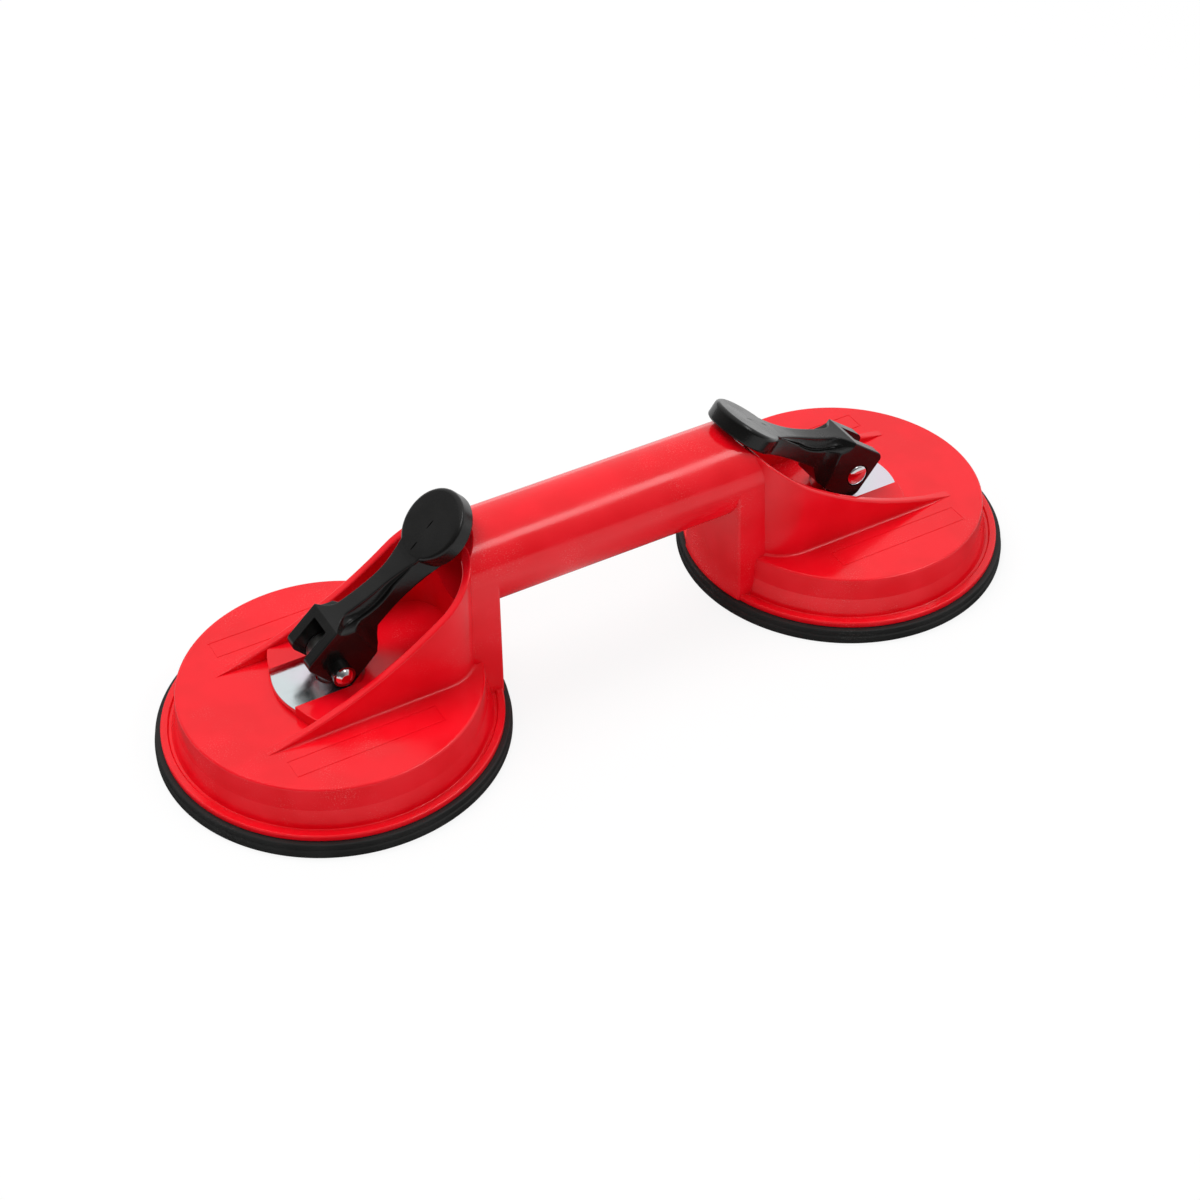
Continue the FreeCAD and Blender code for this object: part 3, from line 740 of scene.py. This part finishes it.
    def post(self) -> Surface:
        """Post: a plan with flat sides, narrowing from its foot to the tube.

        Its outer face is an arc about the cup's centre and its back follows the middle of the horseshoe's wall.

        Returns:
            Its surface in the cup's frame.
        """
        corner = self.post_corner
        rings = []
        for z in np.linspace(RIM_Z + 0.25, TUBE_Z, 12):
            half = self.post_foot_half + (TUBE_R - self.post_foot_half) * (z - RIM_Z) / (TUBE_Z - RIM_Z)
            cx = math.sqrt((self.post_radius - corner) ** 2 - (half - corner) ** 2)
            tilt = math.degrees(math.atan2(half - corner, cx))
            spread = math.degrees(math.asin((half - self.bend_y) / self.bend_r))
            back = arc_points((self.bend_start, self.bend_y), self.bend_r, spread, 0, 10)
            rings.append(level(np.concatenate([
                arc_points((cx, -half + corner), corner, -90, -tilt, 7),
                arc_points((0, 0), self.post_radius, -tilt, tilt, 26)[1:-1],
                arc_points((cx, half - corner), corner, tilt, 90, 7),
                back,
                back[::-1] * np.array([1.0, -1.0]),
            ]), z))
        return lofted(np.stack(rings))

    def tube(self) -> Surface:
        """Tube handle: rings about the tube's axis. Each end starts where the crest cuts it, with a rounded lip.

        Returns:
            Points and faces of the tube, without its bore.
        """
        count = 128
        angle = np.linspace(0, 2 * math.pi, count, endpoint=False) + math.pi / count
        beside = np.clip(np.abs(TUBE_R * np.sin(angle)) - self.bend_y, 0, None)
        end_wall = self.bend_start + np.sqrt(self.bend_r**2 - beside**2)
        start = np.maximum(self.crest_u(TUBE_Z + TUBE_R * np.cos(angle)), end_wall)
        steps = np.linspace(0, 1, 6)
        inset = self.lip - np.sqrt(self.lip**2 - (self.lip - self.lip * steps) ** 2)
        offsets = np.concatenate([self.lip * steps, [3.0, 7.0]])
        radii = TUBE_R - np.concatenate([inset, [0, 0]])
        left = start[None, :] + offsets[:, None] - CUP_SPACING / 2
        middle = np.linspace(-40, 40, 17)[:, None] * np.ones(count)
        x = np.concatenate([left, middle, -left[::-1]])
        r = np.concatenate([radii, np.full(len(middle), TUBE_R), radii[::-1]])[:, None]
        points = np.stack([x, r * np.sin(angle), TUBE_Z + r * np.cos(angle)], -1).reshape(-1, 3)
        i = np.arange(count // 2 - 1)
        cap = np.stack([i, i + 1, count - 2 - i, count - 1 - i], -1)
        return points, [grid_faces(len(x), count), cap, cap[:, ::-1] + (len(x) - 1) * count]

    def floor_plan(self) -> Points:
        """Plan of the raised floor inside the horseshoe, closed by its front arc.

        Returns:
            An (n, 2) array of points.
        """
        half = self.leg_half - self.platform_inset
        radius = self.bend_radius - self.platform_inset
        reach = math.degrees(math.asin(half / self.platform_front_r))
        centre = (self.platform_front_r - self.platform_front, 0)
        return np.concatenate([
            arc_points(centre, self.platform_front_r, 180 - reach, 180 + reach, 25),
            arc_points((self.bend_start, -self.bend_y), radius, -90, 0, 14),
            arc_points((self.bend_start, self.bend_y), radius, 0, 90, 14),
        ])

    def wear_outline(self, gap: float) -> Points:
        """Plan of the wear plate grown by a gap: straight sides between a shallow front arc and a round back.

        Args:
            gap: how far the plan is grown.

        Returns:
            An (n, 2) array of points.
        """
        half = self.wear_half + gap
        front_r, back_r = self.wear_front_r + gap, self.wear_back_r + gap
        front_reach = math.degrees(math.asin(half / front_r))
        back_reach = math.degrees(math.asin(half / back_r))
        front = (self.wear_front_r - self.wear_front, 0)
        return np.concatenate([
            arc_points(front, front_r, 180 - front_reach, 180 + front_reach, 17),
            arc_points((self.wear_back - self.wear_back_r, 0), back_r, -back_reach, back_reach, 21),
        ])

    def platform(self, side: Side) -> Piece:
        """Raised floor between the ramp walls with the channel of the wear plate and the cam cut into it.

        Args:
            side: the cup it belongs to.

        Returns:
            The floor's closed mesh.
        """
        solid = prism(self.floor_plan(), softened(DISC_Z - 1.0, self.platform_z, 0.4))
        floor = mesh_object("platform", solid, side.place)
        seat_z = self.wear_z - self.wear_thickness
        half, front, split = self.channel_half, -self.channel_front, -self.channel_split
        reach = math.degrees(math.asin(half / self.channel_r))
        back = arc_points((self.channel_back - self.channel_r, 0), self.channel_r, -reach, reach, 15)
        plans = (
            ("seat", self.wear_outline(self.wear_gap), seat_z),
            ("mouth", np.array([[front, -half], [split, -half], [split, half], [front, half]]), seat_z),
            ("cam_room", np.concatenate([[[split - 0.2, half], [split - 0.2, -half]], back]), self.wear_z),
        )
        cuts = [
            mesh_object(name, prism(plan, [(0.0, z), (0.0, self.platform_z + 3)]), side.place)
            for name, plan, z in plans
        ]
        carve(floor, Carving.CUT, cuts)
        pedestal = prism(self.wear_outline(0.0), [(0.0, DISC_Z - 1.1), (0.0, seat_z)])
        return carve(floor, Carving.JOIN, [mesh_object("pedestal", pedestal, side.place)])

    def panel_groove(self) -> Surface:
        """Engraved outline of a blank panel: a thin rectangular ring.

        Returns:
            Its surface in the cup's frame.
        """
        (u0, u1), half = self.panel_ends, self.panel_half
        outer = np.array([[u0, -half], [u1, -half], [u1, half], [u0, half]]) + np.array([0, self.panel_y])
        inner = outer + self.panel_line * np.array([[1, 1], [-1, 1], [-1, -1], [1, -1]])
        low, high = DISC_Z - self.panel_depth, DISC_Z + 1
        rings = [level(plan, z) for plan, z in ((outer, low), (outer, high), (inner, high), (inner, low))]
        return np.concatenate(rings), [grid_faces(4, 4, wrap_rows=True)]

    def build(self) -> None:
        """Joins the whole moulding into one closed mesh that stands for the CAD body."""
        body = mesh_object("red_body", self.tube())
        solids, cuts = [], []
        for side in Side:
            parts = {"housing": self.housing(), "ramp_walls": self.ramp_walls(), "post": self.post()}
            solids += [mesh_object(name, part, side.place) for name, part in parts.items()]
            solids.append(self.platform(side))
            cuts.append(mesh_object("guide", cylinder(self.guide_r, 15.0, 30.0), side.place))
            cuts.append(mesh_object("panel_groove", self.panel_groove(), across, side.place))
            cuts.append(mesh_object("panel_groove", self.panel_groove(), side.place))
        reach = CUP_SPACING / 2 - self.bore_end
        cuts.append(mesh_object("bore", cylinder(self.bore_r, -reach, reach, 96), about_x, shifted(z=TUBE_Z)))
        carve(body, Carving.JOIN, solids)
        carve(body, Carving.CUT, cuts)
        finish_mesh(body, self.finish.red)
        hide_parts("body_shell")
        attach(body, "frame")


# --- suction set


@dataclass
class CupPart:
    """What both sub-assemblies of a cup have."""

    finish: Finish
    side: Side

    def name(self, piece: str) -> str:
        """Name of a piece of this cup."""
        return f"{piece}_{self.side.value}"

    def dress_node(self, piece: str, material: Material) -> None:
        """Gives a piece that stays as its CAD node a material."""
        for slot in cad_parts[self.name(piece)].material_slots:
            slot.material = material


@dataclass
class SuctionSet(CupPart):
    """Rubber pad, steel plate, eye bolt, nut and wear plate of one cup."""

    drop: float  # how far the bolt hangs below its highest place
    pad_r: float = 58.98
    lip: float = 9.0
    bead_z: float = 2.5
    rim_r: float = 49.2  # inner edge of the rim that carries the flange
    slope_r: float = 48.6
    split_r: float = 29.0
    split_gap: float = 0.05
    middle_rise: float = 3.6
    skin: float = 4.0
    bolt_hole_r: float = 4.7

    def pad(self) -> None:
        """Outer pad: sealing lip, bead along the lower edge, moulded rings and a thinner slope to the middle."""
        middle = self.middle_rise - self.drop
        profile = [
            (self.split_r, middle, 0), (self.pad_r - self.lip, 0.0, 2.0), (self.pad_r, 0.0, 0.45),
            (self.pad_r, self.bead_z, 0.5), (self.pad_r - 0.5, self.bead_z + 0.5, 0.25),
            (self.pad_r - 0.4, RIM_Z, 0.6), (self.rim_r, RIM_Z, 0.1), (self.slope_r, middle + self.skin, 0.6),
            (self.split_r, middle + self.skin, 0),
        ]
        pad = mesh_object(self.name("pad"), revolved(rounded(profile, closed=True), 224, closed=True), self.side.place)
        finish_mesh(pad, self.finish.rubber)
        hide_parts(self.name("rubber_pad"))
        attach(pad, "frame")

    def pad_middle(self) -> None:
        """Middle of the pad, which follows the steel plate bonded to it."""
        low = self.middle_rise - self.drop
        high = low + self.skin
        r = self.split_r - self.split_gap
        profile = rounded([(0, low, 0), (r, low, 0.15), (r, high, 0.15), (0, high, 0)])
        disc = mesh_object(self.name("pad_middle"), revolved(profile, 128), self.side.place)
        finish_mesh(disc, self.finish.rubber)
        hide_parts(self.name("rubber_pad"))
        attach(disc, self.name("draw"))

    def wear_plate(self, body: BodyShell) -> None:
        """Wear plate: the plate's plan with both edges rounded, and a round hole for the bolt.

        Args:
            body: the moulding that it lies in.
        """
        layers = softened(body.wear_z - body.wear_thickness, body.wear_z, 0.22, both=True)
        plate = mesh_object(self.name("wear_plate_steel"), prism(body.wear_outline(0.0), layers), self.side.place)
        hole = cylinder(self.bolt_hole_r, 20.0, 27.0)
        carve(plate, Carving.CUT, [mesh_object("wear_hole", hole, self.side.place)])
        finish_mesh(plate, self.finish.zinc)
        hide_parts(self.name("wear_plate"))
        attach(plate, "frame")

    def build(self, body: BodyShell) -> None:
        """Builds every piece of the set and gives the steel ones that stay as CAD nodes their finish.

        Args:
            body: the moulding that carries the set.
        """
        self.pad()
        self.pad_middle()
        self.wear_plate(body)
        for piece in ("backing_plate", "draw_bolt", "jam_nut"):
            self.dress_node(piece, self.finish.steel)


# --- lever


@dataclass
class CamLever(CupPart):
    """Black lever with its fork, cam, saddle arm and round thumb pad, and the pin that it turns on."""

    angle: float  # degrees above the floor at rest
    pin_z: float
    half: float = 8.5  # half width of the block
    end: float = 5.4
    block_bottom: float = 8.6
    heel_x: float = 13.0
    step_x: float = 17.9
    arm_bottom: float = 4.45
    corner: float = 2.6
    edge: float = 0.4  # radius of the long rounded edges
    cam_lowest: float = 37.85  # angle in degrees that the cam's curve ends at
    lift_per_radian: float = 3.955
    saddle: tuple[Pair, ...] = ((10.3, 10.6), (26.0, 4.75), (40.96, 1.85))
    crest_half: float = 3.15  # upper part of the arm, between the finger scoops
    crest_neck: float = 5.9  # length over which the block narrows to the crest
    crest_flare: Flare = (27.0, 16.4, 3.3, 1.1, 2.2)
    arm_half: float = 5.15  # lower part of the arm
    arm_neck: Triple = (12.7, 4.6, 0.22)  # start, length and lean with the height
    side_flare: Flare = (31.0, 10.0, 0.75, 1.4, 1.5)
    under_flare: Flare = (21.0, 25.0, 4.6, 1.05, 2)
    scoop: Triple = (27.0, 22.1, 21.3)  # centre and radius of the scoop's foot line
    thumb_x: float = 54.4
    thumb_r: float = 12.8
    thumb_top: float = 1.85
    thumb_thickness: float = 6.3
    marks: tuple[Pair, ...] = ((54.2, 0.0), (45.6, -0.7))
    mark_size: Pair = (1.9, 0.34)
    slot_half: float = 4.3
    slot_reach: float = 7.6
    pin_r: float = 3.0
    pin_play: float = 0.02
    pin_groove: Triple = (2.5, 12.1, 13.04)  # radius and places along the pin
    pin_tail: float = 14.22
    head_r: float = 4.0
    head_y: float = 7.3
    head_rim: float = 0.85
    dome: float = 1.05
    boss_r: float = 3.8

    def place(self, points: Points) -> Points:
        """Turns points by the lever's angle and hangs them on the pin.

        Args:
            points: in the lever's frame, x to the tip, y across and z up from the pin.

        Returns:
            The points in place.
        """
        a = math.radians(self.angle)
        x, y, z = points.T
        turned = [x * math.cos(a) - z * math.sin(a), y, x * math.sin(a) + z * math.cos(a) + self.pin_z]
        return self.side.place(np.stack(turned, 1))

    def saddle_height(self, x: Points) -> Points:
        """Top of the lever: flat block, the circle through the saddle's three points, then the flat thumb pad.

        Args:
            x: places along the lever.

        Returns:
            The heights there.
        """
        a, b, c = np.array(self.saddle)
        (cx, cz), radius = circle_through(a, b, c)
        arc = cz - np.sqrt(np.clip(radius**2 - (x - cx) ** 2, 0, None))
        return np.where(x < a[0], a[1], np.where(x > c[0], c[1] - 0.05 * np.clip(x - c[0], 0, 2), arc))

    def top(self, x: Points) -> Points:
        """Top height with the rounded corner at the lever's end."""
        t = np.clip(self.corner - (x + self.end), 0, self.corner)
        return self.saddle_height(x) - (self.corner - np.sqrt(self.corner**2 - t**2))

    def bottom(self, x: Points) -> Points:
        """Underside: the cam's curve below the pin, the sloping heel, the step and the arm.

        With p the cam's support distance at travel a, which grows by lift_per_radian, the curve is the envelope
        x = -p sin a + p' cos a, z = -p cos a - p' sin a.

        Args:
            x: places along the lever.

        Returns:
            The heights there.
        """
        travel = np.radians(np.linspace(90, self.cam_lowest, 60))
        p = self.end + self.lift_per_radian * (QUARTER - travel)
        cam_x = -p * np.sin(travel) + self.lift_per_radian * np.cos(travel)
        cam_z = -p * np.cos(travel) - self.lift_per_radian * np.sin(travel)
        xs = np.concatenate([cam_x, [self.heel_x, self.step_x, self.thumb_x]])
        zs = np.concatenate([cam_z, [-self.block_bottom, -self.arm_bottom + 0.02, -self.arm_bottom + 0.05]])
        return np.interp(x, xs, zs)

    def top_half(self, x: Points) -> Points:
        """Half width of the top: the block, a quick curve in to the narrow saddle, and a flare to the thumb pad."""
        s = np.clip((x - self.saddle[0][0]) / self.crest_neck, 0, 1)
        return self.half + (self.crest_half - self.half) * (1 - (1 - s) ** 1.9) + flared(x, self.crest_flare)

    def low_half(self, x: Points, z: Points, share: Points | float) -> Points:
        """Half width of the lower part.

        Args:
            x: place along the lever.
            z: height, which leans the edge where the full-width block ends.
            share: 0 at the scoop's foot and 1 at the underside, which flares wider towards the thumb pad.

        Returns:
            The half widths there.
        """
        start, length, lean = self.arm_neck
        s = np.clip((x - start - lean * z) / length, 0, 1)
        base = self.half + (self.arm_half - self.half) * (1 - (1 - s) ** 2)
        return base + flared(x, self.side_flare) * (1 - share) + flared(x, self.under_flare) * share

    def scoop_foot(self, x: Points, top: Points) -> Points:
        """Height of the scoop's foot line: its circle, held below the top and rising to meet it at the thumb pad.

        Args:
            x: places along the lever.
            top: heights of the top there.

        Returns:
            The heights of the foot line there.
        """
        cx, cz, radius = self.scoop
        circle = cz - np.sqrt(np.clip(radius**2 - (x - cx) ** 2, 0.1, None))
        gap = np.where(x < 20, 0.95, np.clip(1.5 * (self.saddle[-1][0] + 0.04 - x) / 8.0, 0.14, 4.0))
        return np.minimum(circle, top - self.edge - gap)

    def section(self, x: Points) -> tuple[Points, Points]:
        """Half outline of the cross sections at x, from the middle of the top to the middle of the underside.

        Going down: the flat top, its rounded edge, the concave scoop, a thin rib, the shelf and rounded edge of the
        lower part, its side, and the rounded lower edge.

        Args:
            x: column of places along the lever.

        Returns:
            y and z, with one row for each x.
        """
        edge = self.edge
        quarter = np.linspace(0, QUARTER, 6)
        shrink = edge - np.sqrt(edge**2 - np.clip(edge - self.end - x, 0, edge) ** 2)
        top = self.top(x) - shrink
        bottom = self.bottom(x) + shrink
        foot = self.scoop_foot(x, top)
        rib_z = foot + np.clip((top - edge - foot) * 0.4, 0, 1.05)
        shelf = self.low_half(x, foot, 0.0) - shrink
        crest = np.minimum(self.top_half(x) - shrink, shelf)
        inner = np.clip(np.minimum(shelf, self.arm_half + 0.4) - crest, 0, None)
        rib = crest + inner * 0.47
        deep, stepped = (np.clip(width / 1.6, 0, 1) for width in (inner, shelf - crest))

        flat = np.linspace(0, 1, 5)[:-1]
        t = np.linspace(0, 1, 15)[1:]
        groove_y = np.array([0.03, -0.08, -0.34, -0.42, -0.30])
        groove_z = np.array([0.12, 0.32, 0.55, 0.80, 0.93])
        shelf_in = np.array([0.55, 0.25, 0.07, 0.0])
        shelf_z = np.array([0.0, -0.01, -0.10, -0.30])
        share = np.linspace(0, 1, 14)[1:]
        side_top = foot + shelf_z[-1]
        side_z = side_top + (bottom + edge - side_top) * share
        side_y = self.low_half(x, side_z, share) - shrink
        low = side_y[:, -1:]
        outline = [
            ((crest - edge) * flat, top + 0 * flat),
            (crest - edge + edge * np.sin(quarter), top - edge + edge * np.cos(quarter)),
            (crest + (rib - crest) * t**2.3, top - edge + (rib_z - top + edge) * t),
            (rib + groove_y * deep, rib_z + (foot - rib_z) * groove_z),
            (np.maximum(shelf - shelf_in, rib - 0.3 * deep) * stepped + shelf * (1 - stepped), foot + shelf_z),
            (side_y, side_z),
            (low - edge + edge * np.cos(quarter[1:]), bottom + edge - edge * np.sin(quarter[1:])),
            ((low - edge) * flat[::-1], bottom + 0 * flat),
        ]
        return np.concatenate([y for y, _ in outline], 1), np.concatenate([z for _, z in outline], 1)

    def arm(self) -> Piece:
        """Block and arm: cross sections along the lever, mirrored. The first ones shrink along a quarter circle.

        Returns:
            The closed mesh.
        """
        ends = self.edge * (1 - np.cos(np.linspace(0, QUARTER, 6))) - self.end
        corner = self.corner * (1 - np.cos(np.linspace(0.3, QUARTER, 10))) - self.end
        parts = [ends, corner, np.linspace(-2.4, 10.3, 14), np.linspace(10.4, 20, 40), np.linspace(20.3, 47, 76)]
        x = np.unique(np.concatenate(parts).round(4))[:, None]
        y, z = self.section(x)
        y = np.concatenate([y, -y[:, -2:0:-1]], 1)
        z = np.concatenate([z, z[:, -2:0:-1]], 1)
        rings = np.stack([np.broadcast_to(x, y.shape), y, z], -1)
        return mesh_object(self.name("cam_lever"), lofted(rings), self.place)

    def thumb(self) -> Piece:
        """Round thumb pad: a disc profile with rounded edges and a barely dished top, revolved.

        Returns:
            The closed mesh.
        """
        profile = [
            (0, self.thumb_top - self.thumb_thickness, 0), (self.thumb_r, self.thumb_top - self.thumb_thickness, 0.9),
            (self.thumb_r, self.thumb_top, 1.5), (self.thumb_r - 4.5, self.thumb_top, 2.0),
            (0, self.thumb_top - 0.12, 0),
        ]
        return mesh_object("thumb", revolved(rounded(profile), 128), shifted(x=self.thumb_x), self.place)

    def tail_boss(self) -> Piece:
        """Boss round the pin's tail, with a rounded rim.

        Returns:
            The closed mesh.
        """
        outer = self.pin_groove[1]
        profile = rounded([(0, 7.5, 0), (self.boss_r, 7.5, 0), (self.boss_r - 0.55, outer, 0.35), (0, outer, 0)])
        return mesh_object("tail_boss", revolved(profile, 64), about_y, across, self.place)

    def cuts(self) -> list[Piece]:
        """Fork slot, pin hole, the seat of the pin's head and two small moulding marks on the thumb pad.

        Returns:
            The tools, as closed meshes.
        """
        w, reach = self.slot_half, self.slot_reach
        plan = rounded([(-20, -w, 0), (reach, -w, 0.3), (reach, w, 0.3), (-20, w, 0)], closed=True)
        tools = [
            mesh_object("slot", prism(plan, [(0, -14), (0, 14)]), self.place),
            mesh_object("pin_hole", cylinder(self.pin_r + self.pin_play, -13.0, 10.0), about_y, self.place),
            mesh_object("head_seat", cylinder(self.head_r + 0.25, self.head_y, 10.0), about_y, self.place),
        ]
        for spot in self.marks:
            mark = arc_points((0, 0), 1.0, 0, 345, 24) * np.array(self.mark_size) + np.array(spot)
            layers = [(0.2, self.thumb_top - 0.6), (0.0, self.thumb_top + 0.3)]
            tools.append(mesh_object("mark", prism(mark, layers), self.place))
        return tools

    def pin(self) -> None:
        """Clevis pin: a profile with a domed head, a groove and a chamfered tail, revolved about its own axis."""
        groove_r, near, far = self.pin_groove
        rim = self.head_y + self.head_rim
        profile = [
            (0, -self.pin_tail, 0), (self.pin_r - 1.4, -self.pin_tail, 0.25),
            (self.pin_r - 0.4, 0.72 - self.pin_tail, 0.25), (self.pin_r, -far, 0), (groove_r, -far, 0),
            (groove_r, -near, 0), (self.pin_r, -near, 0), (self.pin_r, self.head_y, 0), (self.head_r, self.head_y, 0),
        ]
        profile += [(self.head_r * math.sin(a), rim + self.dome * math.cos(a), 0.0) for a in np.linspace(QUARTER, 0, 9)]
        pin = mesh_object(self.name("pin"), revolved(rounded(profile), 64), about_y, self.place)
        finish_mesh(pin, self.finish.polished)
        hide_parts(self.name("clevis_pin"))
        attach(pin, self.name("lever"))

    def build(self) -> None:
        """Joins the lever's solids, cuts the fork and dresses the lever, its pin and its ring."""
        lever = carve(self.arm(), Carving.JOIN, [self.thumb(), self.tail_boss()])
        carve(lever, Carving.CUT, self.cuts())
        finish_mesh(lever, self.finish.nylon)
        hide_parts(self.name("lever"))
        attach(lever, self.name("lever"))
        self.pin()
        self.dress_node("retaining_ring", self.finish.ring)


# --- studio


@dataclass
class Studio:
    """Pale floor, soft white light and the camera."""

    eye: Triple = (-299.81, -519.71, 529.59)
    forward: Triple = (0.3792, 0.6558, -0.6528)
    right: Triple = (0.8657, -0.5006, 0.0014)
    lens: float = 68.9
    surround_light: float = 0.56
    surround_bright: Triple = (0.62, 0.45, 0.64)  # where glossy surfaces see it brightest
    floor_half: float = 6000.0
    floor_z: float = -0.05
    floor_white: float = 0.86  # share of plain white in what the camera sees of the floor
    aim: Triple = (0.0, 0.0, 0.03)

    def camera(self) -> None:
        """Places the camera."""
        data = bpy.data.cameras.new("camera")
        data.lens = self.lens
        data.sensor_width = 36.0
        data.clip_start = 0.01
        data.clip_end = 50.0
        camera = bpy.data.objects.new("camera", data)
        back = -Vector(self.forward).normalized()
        up = back.cross(Vector(self.right).normalized()).normalized()
        turn = Matrix((up.cross(back), up, back)).transposed().to_4x4()
        camera.matrix_world = Matrix.Translation(Vector(self.eye) * MM) @ turn
        bpy.context.scene.collection.objects.link(camera)
        bpy.context.scene.camera = camera

    def world(self) -> None:
        """White surroundings: plain to the camera, graded where gloss shows them, and softer as light."""
        world = bpy.data.worlds.new("studio")
        bpy.context.scene.world = world
        world.use_nodes = True
        tree = Tree(world.node_tree)
        direction = tree.add("ShaderNodeTexCoord").outputs["Generated"]
        values = {0: direction, 1: self.surround_bright}
        toward = tree.add("ShaderNodeVectorMath", values, operation="DOT_PRODUCT").outputs["Value"]
        seen, shiny = tree.rays()
        lit = tree.blend(shiny, self.surround_light, tree.ramp(toward, -0.35, 1.0, 0.10, 0.80))
        background = world.node_tree.nodes["Background"]
        tree.fill(background, {"Color": (1, 1, 1, 1), "Strength": tree.blend(seen, lit, 1.0)})

    def floor(self) -> None:
        """Pale floor that keeps the object's shadow and reads as white.

        Glossy surfaces see a painted reflection of it: painted shade dims it under and near each cup, and painted light
        makes it brighter in the open, most of all far behind.
        """
        half, z = self.floor_half, self.floor_z
        corners = np.array([[-half, -half, z], [half, -half, z], [half, half, z], [-half, half, z]])
        floor = mesh_object("studio_floor", (corners, [np.array([[0, 1, 2, 3]])]))
        material, tree, shader, place = new_material("pale_floor")
        tree.fill(shader, {"Base Color": (0.93, 0.93, 0.93, 1), "Roughness": 0.9, "Specular IOR Level": 0.0})
        xyz = tree.add("ShaderNodeSeparateXYZ", {0: place}).outputs
        along = tree.math("SUBTRACT", tree.math("ABSOLUTE", xyz["X"]), CUP_SPACING / 2 * MM)
        squares = tree.math("ADD", tree.math("MULTIPLY", along, along), tree.math("MULTIPLY", xyz["Y"], xyz["Y"]))
        # painted contact shadow seen in gloss: the floor's reflected brightness runs from dim near each cup to bright
        # in the open
        painted_cup_shade = tree.ramp(tree.math("SQRT", squares), 0.070, 0.125, 0.10, 0.75)
        behind = tree.math("ADD", tree.math("MULTIPLY", xyz["X"], 0.75), tree.math("MULTIPLY", xyz["Y"], 0.66))
        # painted brighter reflection far behind, added to the painted shade near the cups
        mirrored = tree.math("ADD", painted_cup_shade, tree.ramp(behind, 0.10, 0.50, 0.0, 0.55))
        seen, shiny = tree.rays()
        # glossy rays see this painted shade and light as a glow, not as the floor's real lighting
        values = {"Color": (1, 1, 1, 1), "Strength": tree.blend(shiny, 1.0, mirrored)}
        glow = tree.add("ShaderNodeEmission", values).outputs[0]
        share = tree.math("MAXIMUM", tree.math("MULTIPLY", seen, self.floor_white), shiny)
        mixed = tree.add("ShaderNodeMixShader", {0: share, 1: shader.outputs[0], 2: glow}).outputs[0]
        tree.fill(tree.tree.nodes["Material Output"], {"Surface": mixed})
        floor.data.materials.append(material)

    def lamp(self, name: str, place: Triple, size: Pair, power: float, mirrored: bool = True) -> None:
        """Adds a soft rectangular lamp aimed at the middle of the lifter.

        Args:
            name: name of the lamp.
            place: its centre in metres.
            size: its width and height in metres.
            power: its power in watts.
            mirrored: whether glossy surfaces show it.
        """
        data = bpy.data.lights.new(name, "AREA")
        data.shape = "RECTANGLE"
        data.size, data.size_y = size
        data.energy = power
        lamp = bpy.data.objects.new(name, data)
        lamp.location = place
        lamp.visible_glossy = mirrored
        lamp.rotation_euler = (Vector(self.aim) - Vector(place)).to_track_quat("-Z", "Y").to_euler()
        bpy.context.scene.collection.objects.link(lamp)

    def build(self) -> None:
        """Sets up the whole studio."""
        self.camera()
        self.world()
        self.floor()
        self.lamp("strip_softbox", (0.58, -0.50, 1.12), (0.95, 0.24), 3.0)
        self.lamp("overhead_softbox", (-0.3, 0.5, 1.5), (0.9, 0.9), 14.5, mirrored=False)
        bpy.context.scene.view_settings.view_transform = "Standard"


# --- assembly

PIN_Z = 33.5
RESTS = ((Side.LEFT, 42.247, 0.3037), (Side.RIGHT, 37.847, 0.0))  # side, lever's angle and bolt's drop


def main() -> None:
    """Builds the studio and every sub-assembly in order."""
    logging.basicConfig(level=logging.INFO, format="%(message)s")
    Studio().build()
    finish = Finish()
    body = BodyShell(finish)
    body.build()
    log.info("body built")
    for side, angle, drop in RESTS:
        SuctionSet(finish, side, drop).build(body)
        CamLever(finish, side, angle, PIN_Z - drop).build()
        log.info("%s cup built", side.value)


if __name__ == "__main__":
    main()
